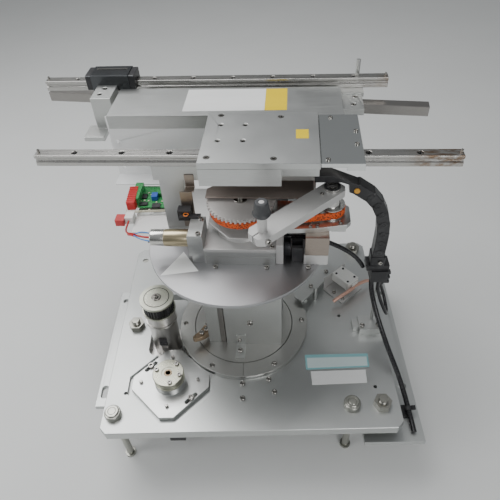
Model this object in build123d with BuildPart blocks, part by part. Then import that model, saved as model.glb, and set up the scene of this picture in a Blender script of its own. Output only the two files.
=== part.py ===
"""Wafer transfer robot: a levelled base plate, a turntable on a column, and two linear rails.

Units are millimetres. The origin is on the turntable's axis, level with the top face of the
base plate. +X runs along the front of the base plate and +Y towards its back. Everything above
the rotor is drawn square to the axes and is then turned about the axis by turn_at_rest.
"""

import os
from math import asin, atan2, cos, degrees, hypot, radians, sin

from build123d import *

os.makedirs("parts", exist_ok=True)

# ---------------------------------------------------------------- driving dimensions
turn_at_rest = -3.9  # where the turntable stands, in degrees about +Z
running_gap = 0.05  # radial clearance of a shaft in its bearing
free_gap = 0.3  # clearance between pieces that pass each other

# base plate
plate_x0, plate_x1 = -197.0, 217.0
plate_y0, plate_y1 = -179.0, 181.0
plate_thick = 15.0
plate_corner = 9.0
plate_opening_r = 70.2
tapped_r = 2.1

# foot plates under the base plate
foot_top = -32.0
foot_thick = 8.0
foot_hole_r = 6.0
left_foot_x0, left_foot_x1 = -223.0, -152.0
left_foot_y0, left_foot_y1 = -120.0, 105.0
right_foot_x0, right_foot_x1 = 166.0, 249.0
right_foot_y0, right_foot_y1 = -184.0, 178.0

# levelling screws and bench legs
stud_r = 6.0
nut_flats = 22.0
nut_thick = 10.0
stud_proud = 6.0
leg_r = 5.0
leg_length = 118.0
leg_pad_r = 8.0
knob_r = 11.5
knob_thick = 9.0

# ring flange, rotor and column
ring_r = 100.5
ring_wide = 23.5
ring_thick = 8.0
rotor_gap = 1.0
rotor_r = ring_r - ring_wide - rotor_gap
ring_screw_r = ring_r - ring_wide / 2 + 3.0
ring_screws = 6
rotor_shaft_r = 40.0
bearing_r = 47.5
housing_bore_r = 55.0
housing_flange_r = 84.0
column_x0, column_x1 = -51.0, 61.0
column_front, column_back = -42.0, 40.0
column_wall = 12.0

# belt drive under the plate
belt_z0, belt_z1 = -37.5, -24.5
belt_thick = 2.6
theta_pulley_r = 55.0
motor_pulley_r = 16.5
mount_plate_half = 56.0
mount_plate_chamfer = 46.0
hub_angle = radians(224.18)
hub_distance = ring_r + 0.6 + (2 * mount_plate_half - mount_plate_chamfer) / 2 ** 0.5
hub_x, hub_y = hub_distance * cos(hub_angle), hub_distance * sin(hub_angle)
mount_plate_thick = 8.0
mount_plate_proud = 3.0
boss_r = 22.0
boss_height = 14.0
hub_r = 12.0
hub_bore_r = 4.0
motor_r = 30.0
motor_top, motor_bottom = -46.0, -108.0

# tower motor with its own pulley
tower_x, tower_y = -121.0, -23.0
tower_r = 21.0
tower_top = 72.0
tower_pulley_r = 24.5

# turntable disc and drive unit
disc_r = 116.5
disc_top = 187.0
disc_thick = 5.0
unit_x0, unit_x1 = -36.0, 54.5
unit_front, unit_back = -48.0, 60.0
housing_top = 208.0
lid_thick = 5.0
land_half = 41.5
land_z0, land_z1 = 226.0, 228.0
land_boss_r = 33.0
tray_thick = 2.0
wheel_x, wheel_y = 9.3, -2.0
wheel_r = 37.5
wheel_top = 255.5
wheel_teeth = 46
tooth_depth = 2.8
crank_x, crank_y = 121.0, -5.0
crank_wheel_r = 15.0
drive_belt_z0, drive_belt_z1 = 241.5, 251.5
drive_belt_thick = 2.4
lever_reach_x, lever_reach_y = -80.0, -77.0
lever_z0, lever_z1 = 266.0, 276.0

# rails and what rides on them
rail_length = 520.0
rail_width = 15.0
rail_height = 15.0
rail_z0 = 292.0
rail_pitch = 60.0
rail_end = 50.0
front_rail_x0, front_rail_y = -247.0, 24.3
rear_rail_x0, rear_rail_y = -308.0, 228.0
beam_y0, beam_y1 = front_rail_y - rail_width / 2, 45.0
beam_z0 = 271.0
post_front = 36.0
carrier_z0, carrier_z1 = 257.0, 265.0
rear_plate_z0 = 286.0
block_width = 34.0
block_length = 58.0
block_top = 320.0
block_clear = 4.0
front_block_x = 35.0
rear_block_x = -202.0
deck_z0, deck_z1 = 320.0, 328.0

# cover over the rear drive
cover_x0, cover_x1 = -188.0, 142.0
cover_y0, cover_y1 = 128.0, 210.5
cover_top = 299.0
sheet = 1.5


# ---------------------------------------------------------------- helpers
def store(part, name, turned=False):
    """Label a finished piece and write it, turned with the turntable where it rides on it."""
    placed = part.rotate(Axis.Z, turn_at_rest) if turned else part
    placed.label = name
    export_step(placed, f"parts/{name}.step")


def plate(x0, x1, y0, y1, z0, z1, mode=Mode.ADD):
    """Add or cut a flat block between two corners."""
    with BuildSketch(Plane.XY.offset(z0)) as profile:
        with Locations(((x0 + x1) / 2, (y0 + y1) / 2)):
            Rectangle(x1 - x0, y1 - y0)
    extrude(profile.sketch, amount=z1 - z0, mode=mode)


def disc(x, y, r, z0, z1, mode=Mode.ADD):
    """Add or cut an upright cylinder."""
    with BuildSketch(Plane.XY.offset(z0)) as profile:
        with Locations((x, y)):
            Circle(r)
    extrude(profile.sketch, amount=z1 - z0, mode=mode)


def ring(x, y, r_out, r_in, z0, z1):
    """Add an upright ring."""
    with BuildSketch(Plane.XY.offset(z0)) as profile:
        with Locations((x, y)):
            Circle(r_out)
            Circle(r_in, mode=Mode.SUBTRACT)
    extrude(profile.sketch, amount=z1 - z0)


def rod(start, end, r, mode=Mode.ADD):
    """Add or cut a straight round bar between two points."""
    line = Vector(*end) - Vector(*start)
    with BuildSketch(Plane(origin=start, z_dir=line)) as profile:
        Circle(r)
    extrude(profile.sketch, amount=line.length, mode=mode)


def cap_screws(points, seat, head_r=3.6, head=3.6):
    """Add socket-head screws whose heads stand on a face at height seat."""
    with BuildSketch(Plane.XY.offset(seat)) as heads:
        with Locations(*points):
            Circle(head_r)
    extrude(heads.sketch, amount=head)
    with BuildSketch(Plane.XY.offset(seat + head)) as sockets:
        with Locations(*points):
            RegularPolygon(head_r * 0.5, 6)
    extrude(sockets.sketch, amount=-head * 0.6, mode=Mode.SUBTRACT)


def hex_nuts(points, seat, tall, flats, bore_r):
    """Add hexagon nuts that stand on a face at height seat."""
    with BuildSketch(Plane.XY.offset(seat)) as nuts:
        with Locations(*points):
            RegularPolygon(flats / 2, 6, major_radius=False)
            Circle(bore_r, mode=Mode.SUBTRACT)
    extrude(nuts.sketch, amount=tall)


def block(x0, x1, y0, y1, z0, z1):
    """Build one flat block as a piece of its own."""
    with BuildPart() as made:
        plate(x0, x1, y0, y1, z0, z1)
    return made.part.solids()[0]


def belt_outline(centre_a, r_a, centre_b, r_b, z):
    """Draw the closed line of a belt round two circles, at a height."""
    (ax, ay), (bx, by) = centre_a, centre_b
    line = atan2(by - ay, bx - ax)
    lean = asin((r_a - r_b) / hypot(bx - ax, by - ay))
    left, right = line + radians(90) - lean, line - radians(90) + lean

    def rim(centre_x, centre_y, r, angle):
        """Give the point of a circle at an angle."""
        return (centre_x + r * cos(angle), centre_y + r * sin(angle))

    with BuildLine() as edge:
        Line(rim(ax, ay, r_a, left), rim(bx, by, r_b, left))
        ThreePointArc(rim(bx, by, r_b, left), rim(bx, by, r_b, line), rim(bx, by, r_b, right))
        Line(rim(bx, by, r_b, right), rim(ax, ay, r_a, right))
        ThreePointArc(rim(ax, ay, r_a, right), rim(ax, ay, r_a, line + radians(180)),
                      rim(ax, ay, r_a, left))
    with BuildSketch(Plane.XY.offset(z)) as face:
        make_face(edge.edges())
    return face.sketch


def belt_loop(centre_a, r_a, centre_b, r_b, thick, z0, z1):
    """Add a closed belt whose inner face lies on two circles."""
    extrude(belt_outline(centre_a, r_a + thick, centre_b, r_b + thick, z0), amount=z1 - z0)
    extrude(belt_outline(centre_a, r_a, centre_b, r_b, z0), amount=z1 - z0, mode=Mode.SUBTRACT)


def cord_radii(points):
    """Give each corner of a route the largest arc that its two runs allow."""
    route = [Vector(*p) for p in points]
    radii = []
    for before, here, after in zip(route, route[1:], route[2:]):
        run_in, run_out = here - before, after - here
        turn = radians(run_in.get_angle(run_out))
        radii.append(0.45 * min(run_in.length, run_out.length) / (sin(turn / 2) / cos(turn / 2)))
    return radii


def cord(name, points, diameter):
    """Sweep a round cord along straight runs joined by tangent arcs."""
    radii = cord_radii(points)
    print(name, "bend radii", [round(r, 1) for r in radii])
    with BuildPart() as made:
        with BuildLine() as route:
            FilletPolyline(*points, radius=radii)
        start = route.line @ 0
        with BuildSketch(Plane(origin=start, z_dir=route.line % 0)):
            Circle(diameter / 2)
        sweep(path=route.line)
    expected = 3.14159265 * (diameter / 2) ** 2 * sum(e.length for e in route.line.edges())
    print(name, "length", round(sum(e.length for e in route.line.edges()), 1), "volume ratio", made.part.volume / expected)
    return made


# ---------------------------------------------------------------- base
plate_mid_x, plate_mid_y = (plate_x0 + plate_x1) / 2, (plate_y0 + plate_y1) / 2
stud_points = [(192.5, -145.0), (-172.0, 2.0), (195.5, 160.5)]
knob_points = [(-181.0, -151.5), (151.0, -145.0)]
rear_leg_points = [(-181.0, 152.0), (130.0, 160.0)]
spare_holes = [(-170.0, -118.0), (188.0, -117.0), (153.0, 12.0)]

with BuildPart() as base_plate:
    with BuildSketch(Plane.XY.offset(-plate_thick)):
        with Locations((plate_mid_x, plate_mid_y)):
            body = Rectangle(plate_x1 - plate_x0, plate_y1 - plate_y0)
        chamfer(body.vertices(), plate_corner)
        Circle(plate_opening_r, mode=Mode.SUBTRACT)
        # slot round the tower motor, open towards the back
        with Locations((tower_x, tower_y + 30.0)):
            RectangleRounded(2 * tower_r + 10, 122.0, 12.0, mode=Mode.SUBTRACT)
        # clearance for the theta motor's belt
        with Locations((hub_x, hub_y)):
            Circle(40.0, mode=Mode.SUBTRACT)
        with Locations(Location((hub_x + 33.0, hub_y + 33.0, 0), 45)):
            RectangleRounded(26.0, 74.0, 4.0, mode=Mode.SUBTRACT)
        with Locations(*stud_points):
            Circle(stud_r + 0.5, mode=Mode.SUBTRACT)
        with Locations(*knob_points, *rear_leg_points):
            Circle(leg_r + running_gap, mode=Mode.SUBTRACT)
        with Locations(*spare_holes):
            Circle(tapped_r + 0.4, mode=Mode.SUBTRACT)
    extrude(amount=plate_thick)
    # seat of the octagonal motor mount
    with BuildSketch(Plane.XY.offset(mount_plate_proud - mount_plate_thick)):
        with Locations((hub_x - 2.0, hub_y - 2.0)):
            seat = Rectangle(2 * mount_plate_half + 8, 2 * mount_plate_half + 8)
        chamfer(seat.vertices(), mount_plate_chamfer)
    extrude(amount=mount_plate_thick, mode=Mode.SUBTRACT)
    chamfer(base_plate.faces().sort_by(Axis.Z)[-1].outer_wire().edges(), 0.6)
store(base_plate.part, "base_plate")

with BuildPart() as left_foot_plate:
    plate(left_foot_x0, left_foot_x1, left_foot_y0, left_foot_y1, foot_top - foot_thick, foot_top)
    disc(stud_points[1][0], stud_points[1][1], stud_r + running_gap,
         foot_top - foot_thick, foot_top, Mode.SUBTRACT)
    disc(-212.0, 84.0, foot_hole_r - 1.5, foot_top - foot_thick, foot_top, Mode.SUBTRACT)
    with BuildSketch(Plane.XY.offset(foot_top)):
        with Locations(Location((-212.5, -96.0, 0), 90)):
            SlotOverall(21.0, 11.0)
    extrude(amount=-foot_thick, mode=Mode.SUBTRACT)
store(left_foot_plate.part, "left_foot_plate")

with BuildPart() as right_foot_plate:
    plate(right_foot_x0, right_foot_x1, right_foot_y0, right_foot_y1, foot_top - foot_thick, foot_top)
    for x, y in (stud_points[0], stud_points[2]):
        disc(x, y, stud_r + running_gap, foot_top - foot_thick, foot_top, Mode.SUBTRACT)
    for y in (-98.0, 84.0):
        disc(235.0, y, foot_hole_r, foot_top - foot_thick, foot_top, Mode.SUBTRACT)
store(right_foot_plate.part, "right_foot_plate")

# three levelling studs, each with nuts above and below both plates
with BuildPart() as levelling_screws:
    for x, y in stud_points:
        disc(x, y, stud_r, foot_top - foot_thick - nut_thick - 3.0, nut_thick + stud_proud)
    for seat_z, tall in ((0.0, nut_thick), (-plate_thick - 8.0, 8.0), (foot_top, 8.0),
                         (foot_top - foot_thick - 8.0, 8.0)):
        hex_nuts(stud_points, seat_z, tall, nut_flats, stud_r + running_gap)
    chamfer(levelling_screws.faces().sort_by(Axis.Z)[-1].edges(), 0.8)
store(levelling_screws.part, "levelling_screws")

# jack screws that carry the robot on a bench; the front two have round knobs on top
with BuildPart() as bench_legs:
    for x, y in knob_points:
        disc(x, y, leg_r, -leg_length + 3.0, 0.0)
        disc(x, y, knob_r, 0.0, knob_thick)
    for x, y in rear_leg_points:
        disc(x, y, leg_r, -leg_length + 3.0, -2.0)
    for x, y in knob_points + rear_leg_points:
        disc(x, y, leg_pad_r, -leg_length, -leg_length + 5.0)
    hex_nuts(knob_points + rear_leg_points, -plate_thick - 8.0, 8.0, 18.0, leg_r + running_gap)
    knob_rims = bench_legs.edges().filter_by(GeomType.CIRCLE).group_by(Axis.Z)[-1]
    fillet(knob_rims, 1.6)
store(bench_legs.part, "bench_legs")

# the ring that clamps the turntable bearing, split on the centre line of the plate
with BuildPart() as ring_flange_halves:
    seam = 0.3
    ring(0, 0, ring_r, ring_r - ring_wide, 0, ring_thick)
    plate(-seam, seam, -ring_r - 1, ring_r + 1, 0, ring_thick, Mode.SUBTRACT)
    with PolarLocations(ring_screw_r, ring_screws):
        CounterBoreHole(2.2, 3.9, 3.8, depth=ring_thick)
store(ring_flange_halves.part, "ring_flange_halves")

with BuildPart() as bearing_housing:
    ring(0, 0, plate_opening_r - 0.2, housing_bore_r, -plate_thick, 0)
    ring(0, 0, housing_flange_r, housing_bore_r, -plate_thick - 6.0, -plate_thick)
    ring(0, 0, housing_bore_r, rotor_shaft_r + 7.5, -plate_thick, -1.5)
store(bearing_housing.part, "bearing_housing")

with BuildPart() as motor_mount_plate:
    low = mount_plate_proud - mount_plate_thick
    with BuildSketch(Plane.XY.offset(low)):
        with Locations((hub_x, hub_y)):
            outline = Rectangle(2 * mount_plate_half, 2 * mount_plate_half)
        chamfer(outline.vertices(), mount_plate_chamfer)
        with Locations((hub_x, hub_y)):
            Circle(hub_r + running_gap, mode=Mode.SUBTRACT)
        # belt tension slots
        for angle in (-40, 140):
            along = radians(angle)
            spot = (hub_x + 42.0 * cos(along), hub_y + 42.0 * sin(along))
            with Locations(Location((*spot, 0), 45)):
                SlotOverall(22.0, 6.0, mode=Mode.SUBTRACT)
    extrude(amount=mount_plate_thick)
    ring(hub_x, hub_y, boss_r, hub_r + running_gap, mount_plate_proud, boss_height)
    chamfer(motor_mount_plate.edges().filter_by(GeomType.CIRCLE).sort_by(Axis.Z)[-1], 0.8)
store(motor_mount_plate.part, "motor_mount_plate")

# hub, shaft and belt pulley turned in one piece
with BuildPart() as motor_hub:
    disc(hub_x, hub_y, hub_r, belt_z1 + 1.5, boss_height - 1.0)
    disc(hub_x, hub_y, motor_pulley_r, belt_z0 - 0.5, belt_z1 + 0.5)
    disc(hub_x, hub_y, motor_pulley_r + 2.0, belt_z0 - 2.0, belt_z0 - 0.5)
    disc(hub_x, hub_y, motor_pulley_r + 2.0, belt_z1 + 0.5, belt_z1 + 2.0)
    disc(hub_x, hub_y, 5.0, motor_top + 0.3, belt_z0)
    disc(hub_x, hub_y, hub_bore_r, boss_height - 19.0, boss_height, Mode.SUBTRACT)
store(motor_hub.part, "motor_hub")

def post(x, y, r, z0, z1):
    """Build one upright round bar as a piece of its own."""
    with BuildPart() as made:
        disc(x, y, r, z0, z1)
    return made.part.solids()[0]


towards_axis = degrees(hub_angle) + 180.0
standoff_r = motor_r + 1.0
standoffs = [radians(towards_axis + angle) for angle in (90, 150, 210, 270)]
theta_motor = Compound([
    post(hub_x, hub_y, 36.0, motor_top - 6.0, motor_top),
    post(hub_x, hub_y, motor_r, motor_bottom, motor_top - 6.0),
    *[post(hub_x + standoff_r * cos(a), hub_y + standoff_r * sin(a), 4.0, motor_top,
           mount_plate_proud - mount_plate_thick) for a in standoffs],
    block(hub_x - 12, hub_x + 12, hub_y - motor_r - 9, hub_y - motor_r + 0.4, motor_bottom + 6,
          motor_bottom + 22),
])
store(theta_motor, "theta_motor")

with BuildPart() as theta_belt:
    belt_loop((0, 0), theta_pulley_r + free_gap, (hub_x, hub_y), motor_pulley_r + free_gap,
              belt_thick, belt_z0, belt_z1)
store(theta_belt.part, "theta_belt")

# motor that stands through the slot, held by a flange under the plate
with BuildPart() as tower_can:
    disc(tower_x, tower_y, tower_r, -plate_thick, tower_top)
    ring(tower_x, tower_y, tower_r + 2.0, tower_r - 4.0, tower_top - 22.0, tower_top - 17.0)
    with BuildSketch(Plane.XZ.offset(-tower_y + tower_r - 3.0)) as connector_recess:
        with Locations((tower_x, 8.0)):
            RectangleRounded(9.0, 12.0, 2.0)
    extrude(connector_recess.sketch, amount=6.0, mode=Mode.SUBTRACT)
tower_motor = Compound([
    *tower_can.solids(),
    block(tower_x - tower_r - 12, tower_x + tower_r + 12, tower_y - tower_r - 7, tower_y + tower_r + 7,
          -plate_thick - 7.0, -plate_thick),
    post(tower_x, tower_y, tower_r - 2.0, -plate_thick - 30.0, -plate_thick - 7.0),
])
store(tower_motor, "tower_motor")

with BuildPart() as tower_pulley:
    disc(tower_x, tower_y, tower_pulley_r - 3.0, tower_top + free_gap, tower_top + 27.0)
    disc(tower_x, tower_y, tower_pulley_r, tower_top + 23.0, tower_top + 27.0)
    disc(tower_x, tower_y, tower_pulley_r, tower_top + 2.0, tower_top + 5.0)
    ring(tower_x, tower_y, tower_pulley_r - 3.0, tower_pulley_r - 5.0, tower_top + 26.0,
         tower_top + 27.0)
store(tower_pulley.part, "tower_pulley")

sensor_turn = 40.0
sensor_place = Location((169.6, 72.3, 0), sensor_turn)
sensor_sheet_y = 19.0
with BuildPart() as sensor_foot:
    with BuildSketch():
        with Locations(sensor_place):
            with Locations((-5.0, -0.75)):
                Rectangle(50.0, 42.5)
    extrude(amount=2.0)
with BuildPart() as sensor_sheet:
    with BuildSketch(Plane.XY.offset(2.0)):
        with Locations(sensor_place):
            with Locations((-5.0, sensor_sheet_y + 0.75)):
                Rectangle(50.0, 1.5)
    extrude(amount=28.0)
store(Compound([*sensor_foot.solids(), *sensor_sheet.solids()]), "sensor_bracket")

with BuildPart() as limit_sensor:
    with BuildSketch(Plane.XY.offset(14.0)):
        with Locations(sensor_place):
            with Locations((0.0, 0.5)):
                Rectangle(25.0, 2 * sensor_sheet_y - 1.0)
    extrude(amount=16.0)
    chamfer(limit_sensor.edges().filter_by(Axis.Z), 1.5)
store(limit_sensor.part, "limit_sensor")

# straight bracket that reaches in beside the turntable, on pillars
arm_start, arm_end = (88.0, 34.0), (152.0, 105.0)
arm_turn = degrees(atan2(arm_end[1] - arm_start[1], arm_end[0] - arm_start[0]))
arm_length = hypot(arm_end[0] - arm_start[0], arm_end[1] - arm_start[1])
arm_z0, arm_z1 = 16.0, 19.0
with BuildPart() as stop_arm:
    with BuildSketch(Plane.XY.offset(arm_z0)):
        with Locations(Location((*arm_start, 0), arm_turn)):
            with Locations((arm_length / 2, 0)):
                RectangleRounded(arm_length, 20.0, 6.0)
            with Locations((35.0, 0), (78.0, 0)):
                Circle(2.2, mode=Mode.SUBTRACT)
    extrude(amount=arm_z1 - arm_z0)
along_arm = [(arm_start[0] + t * cos(radians(arm_turn)), arm_start[1] + t * sin(radians(arm_turn)))
             for t in (22.0, 88.0)]
pillars = [post(x, y, 3.5, 0.0, arm_z0) for x, y in along_arm]
pillars.append(post(118.0, 49.5, 3.2, 0.0, 28.0))
store(Compound([*stop_arm.solids(), *pillars]), "stop_sector")

post_x, post_y = 199.5, -6.5
post_top = 112.0
cable_post = Compound([
    block(179.0, plate_x1 - 1.0, -27.0, 0.0, 0.0, 14.0),
    block(170.0, 179.0, -19.5, -2.5, 0.0, 10.0),
    post(post_x, post_y, 2.4, 14.0, post_top),
])
store(cable_post, "cable_post")

tie_x, tie_y = 233.0, -140.0
clip_x0, clip_x1 = 177.0, 208.0
cord_r = 3.6
with BuildPart() as cable_clips:
    # clamp on the post with a comb for tying leads
    plate(clip_x0, clip_x1, -16.0, 4.0, post_top + 21.0, post_top + 30.0)
    plate(clip_x0 + 7.0, clip_x1 - 1.0, -19.0, 5.5, post_top + 0.2, post_top + 21.0)
    for tooth in range(3):
        z = post_top - 12.0 + 9.0 * tooth
        plate(204.0, 214.0, -10.0, -3.0, z, z + 4.0)
    plate(203.4, 205.4, -11.0, -2.0, post_top - 14.0, post_top + 12.0)
    # tie mount on the foot plate
    plate(tie_x - 8.0, tie_x + 5.0, tie_y - 9.0, tie_y + 9.0, foot_top, foot_top + 4.2)
store(cable_clips.part, "cable_clips")

cap_points = [(-1.0, -ring_r - 7.5), (-1.0, -ring_r - 30.5), (37.0, -ring_r - 1.5), (44.5, -ring_r - 22.0)]
with BuildPart() as base_screws:
    cap_screws(cap_points, 0.0)
    cap_screws([(183.5, -20.0), (208.0, -19.0)], 14.0)
    with BuildSketch(Plane.XY.offset(ring_thick - 3.6)) as ring_heads:
        with PolarLocations(ring_screw_r, ring_screws):
            Circle(3.6)
    extrude(ring_heads.sketch, amount=3.4)
    mount_points = [(hub_x + 42.0 * cos(radians(a)), hub_y + 42.0 * sin(radians(a)))
                    for a in (-40, 140)]
    cap_screws(mount_points, mount_plate_proud, head_r=4.4, head=4.0)
store(base_screws.part, "base_screws")

# ---------------------------------------------------------------- turntable and column
with BuildPart() as rotor:
    disc(0, 0, rotor_r, 0.5, ring_thick)
    disc(0, 0, bearing_r - running_gap, -plate_thick, 0.5)
    disc(0, 0, rotor_shaft_r, belt_z0 - 3.0, -plate_thick)
    ring(0, 0, theta_pulley_r, rotor_shaft_r, belt_z0 - 1.0, belt_z1 + 0.5)
store(rotor.part, "rotor", turned=True)

column_top = disc_top - disc_thick
inner_front, inner_back = column_front + column_wall, column_back - column_wall
column_plates = Compound([
    block(-22.0, column_x1, column_front, inner_front, ring_thick, column_top),
    block(-49.0, -31.0, column_front + 1.0, inner_back, ring_thick, column_top),
    block(column_x1 - column_wall, column_x1, inner_front, inner_back, ring_thick, column_top),
    block(-49.0, column_x1, inner_back, column_back, ring_thick, column_top),
    # foot angle in front
    block(-7.0, 7.0, -70.0, column_front - 3.0, ring_thick, ring_thick + 3.0),
    block(-7.0, 7.0, column_front - 3.0, column_front, ring_thick, ring_thick + 22.0),
])
store(column_plates, "column_plates", turned=True)

with BuildPart() as origin_dog:
    plate(-72.0, -49.0, -52.0, -24.0, ring_thick + free_gap, ring_thick + 5.0)
    plate(-64.0, -49.0, -41.0, -24.0, ring_thick + 5.0, ring_thick + 24.0)
store(origin_dog.part, "origin_dog", turned=True)

with BuildPart() as turntable_disc:
    disc(0, 0, disc_r, column_top, disc_top)
    for x, y in ((-22.0, unit_front - 3.5), (43.0, unit_front - 3.5), (95.0, -52.0)):
        disc(x, y, 2.2, column_top, disc_top, Mode.SUBTRACT)
store(turntable_disc.part, "turntable_disc", turned=True)

# ---------------------------------------------------------------- drive unit on the disc
with BuildPart() as drive_housing:
    plate(unit_x0, unit_x1, unit_front, unit_back, disc_top, housing_top)
    chamfer(drive_housing.edges().filter_by(Axis.Z).group_by(Axis.Y)[0], 1.5)
    plate(unit_x0 - 1, unit_x1 + 1, unit_front - 1, unit_front + 0.8, disc_top + 13.0,
          disc_top + 14.2, Mode.SUBTRACT)
    disc(wheel_x, wheel_y, 9.0 + running_gap, disc_top + 4.0, housing_top, Mode.SUBTRACT)
store(drive_housing.part, "drive_housing", turned=True)

with BuildPart() as housing_lid:
    plate(unit_x0, unit_x1, unit_front, unit_back, housing_top, housing_top + lid_thick)
    # eight-sided land under the wheel
    disc(wheel_x, wheel_y, land_boss_r, housing_top + lid_thick, land_z0)
    with BuildSketch(Plane.XY.offset(land_z0)) as land:
        with Locations((wheel_x, wheel_y)):
            lip = Rectangle(2 * land_half, 2 * land_half)
        chamfer(lip.vertices(), land_half * 0.7)
    extrude(land.sketch, amount=land_z1 - land_z0)
    disc(wheel_x, wheel_y, 9.0 + running_gap, housing_top, land_z1, Mode.SUBTRACT)
store(housing_lid.part, "housing_lid", turned=True)


def toothed_disc(x, y, r, teeth, depth, z0, z1):
    """Add a pulley rim with trapezoidal teeth cut round it."""
    with BuildSketch(Plane.XY.offset(z0)) as rim:
        with Locations((x, y)):
            Circle(r)
            with PolarLocations(r, teeth):
                width = 3.14159265 * r / teeth
                Rectangle(2 * depth, width, mode=Mode.SUBTRACT)
    extrude(rim.sketch, amount=z1 - z0)


with BuildPart() as drive_pulley:
    disc(wheel_x, wheel_y, 9.0, disc_top + 4.5, drive_belt_z0 - 1.5)
    toothed_disc(wheel_x, wheel_y, wheel_r, wheel_teeth, tooth_depth, drive_belt_z0 - 1.5, wheel_top)
store(drive_pulley.part, "drive_pulley", turned=True)

idler_z0, idler_z1 = 232.0, 239.0
idler_back = 17.0
with BuildPart() as idler_plate:
    with BuildSketch(Plane.XY.offset(idler_z0)) as idler_face:
        with BuildLine():
            Polyline((unit_x1, -26.5), (unit_x1 + 9.0, -38.0), (102.0, -36.0), (140.0, -28.5), (145.0, -22.0),
                     (145.0, 6.0), (134.0, idler_back), (unit_x1, idler_back), close=True)
        make_face()
    extrude(idler_face.sketch, amount=idler_z1 - idler_z0)
    disc(crank_x, crank_y, 6.0 + running_gap, idler_z0, idler_z1, Mode.SUBTRACT)
    # stiffening foot under its right end
    plate(122.0, 139.5, -27.0, -14.0, idler_z0 - 6.0, idler_z0)
store(idler_plate.part, "idler_plate", turned=True)

with BuildPart() as drive_belt:
    belt_loop((wheel_x, wheel_y), wheel_r + free_gap, (crank_x, crank_y), crank_wheel_r + free_gap,
              drive_belt_thick, drive_belt_z0, drive_belt_z1)
store(drive_belt.part, "drive_belt", turned=True)

lever_length = hypot(lever_reach_x, lever_reach_y)
lever_angle = degrees(atan2(lever_reach_y, lever_reach_x))
tip_x, tip_y = crank_x + lever_reach_x, crank_y + lever_reach_y
with BuildPart() as lever_pulley:
    disc(crank_x, crank_y, 6.0, idler_z0 - 6.0, idler_z1 + 0.3)
    disc(crank_x, crank_y, crank_wheel_r + 2.0, idler_z1 + 0.3, drive_belt_z0 - 0.5)
    disc(crank_x, crank_y, crank_wheel_r, drive_belt_z0 - 0.5, drive_belt_z1 + 0.5)
    disc(crank_x, crank_y, crank_wheel_r + 2.0, drive_belt_z1 + 0.5, drive_belt_z1 + 2.0)
    disc(crank_x, crank_y, 11.5, drive_belt_z1 + 2.0, lever_z0)
    # bearing and cap screw over the lever
    ring(crank_x, crank_y, 10.0, 7.0, lever_z1, lever_z1 + 3.0)
    disc(crank_x, crank_y, 4.5, lever_z1, lever_z1 + 4.0)
store(lever_pulley.part, "lever_pulley", turned=True)

with BuildPart() as lever_arm:
    with BuildSketch(Plane.XY.offset(lever_z0)):
        with Locations(Location((crank_x, crank_y, 0), lever_angle)):
            with Locations(((lever_length - 14.0 + 14.0) / 2, 0)):
                Rectangle(lever_length + 28.0, 27.0)
    extrude(amount=lever_z1 - lever_z0)
    chamfer(lever_arm.edges().filter_by(Axis.Z), 6.0)
    # split clamp round the roller shaft
    with BuildSketch(Plane.XY.offset(lever_z0)) as slit:
        with Locations(Location((crank_x, crank_y, 0), lever_angle)):
            with Locations((lever_length, 0)):
                Circle(5.5)
            with Locations((lever_length + 10.0, 0)):
                Rectangle(12.0, 1.6)
    extrude(slit.sketch, amount=lever_z1 - lever_z0, mode=Mode.SUBTRACT)
with BuildPart() as roller_shaft:
    disc(tip_x, tip_y, 5.5 - running_gap, lever_z0, 298.0)
    disc(tip_x, tip_y, 3.0, 298.0, 316.0)
lever_pieces = Compound([*lever_arm.solids(), *roller_shaft.solids()])
store(lever_pieces, "lever_arm", turned=True)

with BuildPart() as roller:
    with BuildSketch(Plane.XZ):
        with BuildLine():
            Polyline((3.0 + running_gap, 298.3), (9.0, 298.3), (10.5, 301.0), (9.0, 303.5),
                     (7.5, 315.0), (6.5, 316.5), (3.0 + running_gap, 316.5),
                     (3.0 + running_gap, 298.3))
        make_face()
    revolve(axis=Axis.Z)
roller_part = Pos(tip_x, tip_y, 0) * roller.part
store(roller_part, "roller", turned=True)

with BuildPart() as gear_block:
    plate(-55.0, unit_x0, unit_front + 1.0, -8.0, 200.0, 233.0)
    plate(-52.0, unit_x0, unit_front + 3.0, -10.0, disc_top, 200.0)
    rod((-55.0, -36.0, 221.0), (-46.0, -36.0, 221.0), 8.0, Mode.SUBTRACT)
    chamfer(gear_block.faces().sort_by(Axis.Z)[-1].edges(), 0.8)
store(gear_block.part, "gear_block", turned=True)

motor_axis_y, motor_axis_z = -36.0, 221.0
with BuildPart() as gearhead:
    rod((-85.5, motor_axis_y, motor_axis_z), (-55.0, motor_axis_y, motor_axis_z), 11.0)
    rod((-55.0, motor_axis_y, motor_axis_z), (-47.0, motor_axis_y, motor_axis_z), 7.5)
    fillet(gearhead.edges().filter_by(GeomType.CIRCLE).sort_by(Axis.X)[0], 0.8)
store(gearhead.part, "gearhead", turned=True)

with BuildPart() as gearmotor_can:
    rod((-103.0, motor_axis_y, motor_axis_z), (-85.5, motor_axis_y, motor_axis_z), 10.6)
    fillet(gearmotor_can.edges().filter_by(GeomType.CIRCLE).sort_by(Axis.X)[0], 1.2)
store(gearmotor_can.part, "gearmotor_can", turned=True)

lead_route = [(-103.0, -36.0, 221.0), (-112.0, -36.0, 221.0), (-123.0, -33.0, 221.5),
              (-134.0, -26.0, 217.0), (-143.0, -14.0, 209.0), (-149.0, 0.0, 201.0),
              (-152.5, 14.0, 194.5), (-153.5, 26.7, 193.0)]
lead_diameter = 2.6
motor_leads = cord("motor_leads", lead_route, lead_diameter)
store(motor_leads.part, "motor_leads", turned=True)

with BuildPart() as lead_plugs:
    plate(-159.0, -147.3, 27.0, 42.0, 187.5, 198.5)
    plate(-171.5, -159.3, 22.0, 36.0, 188.5, 197.5)
store(lead_plugs.part, "lead_plugs", turned=True)

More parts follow.
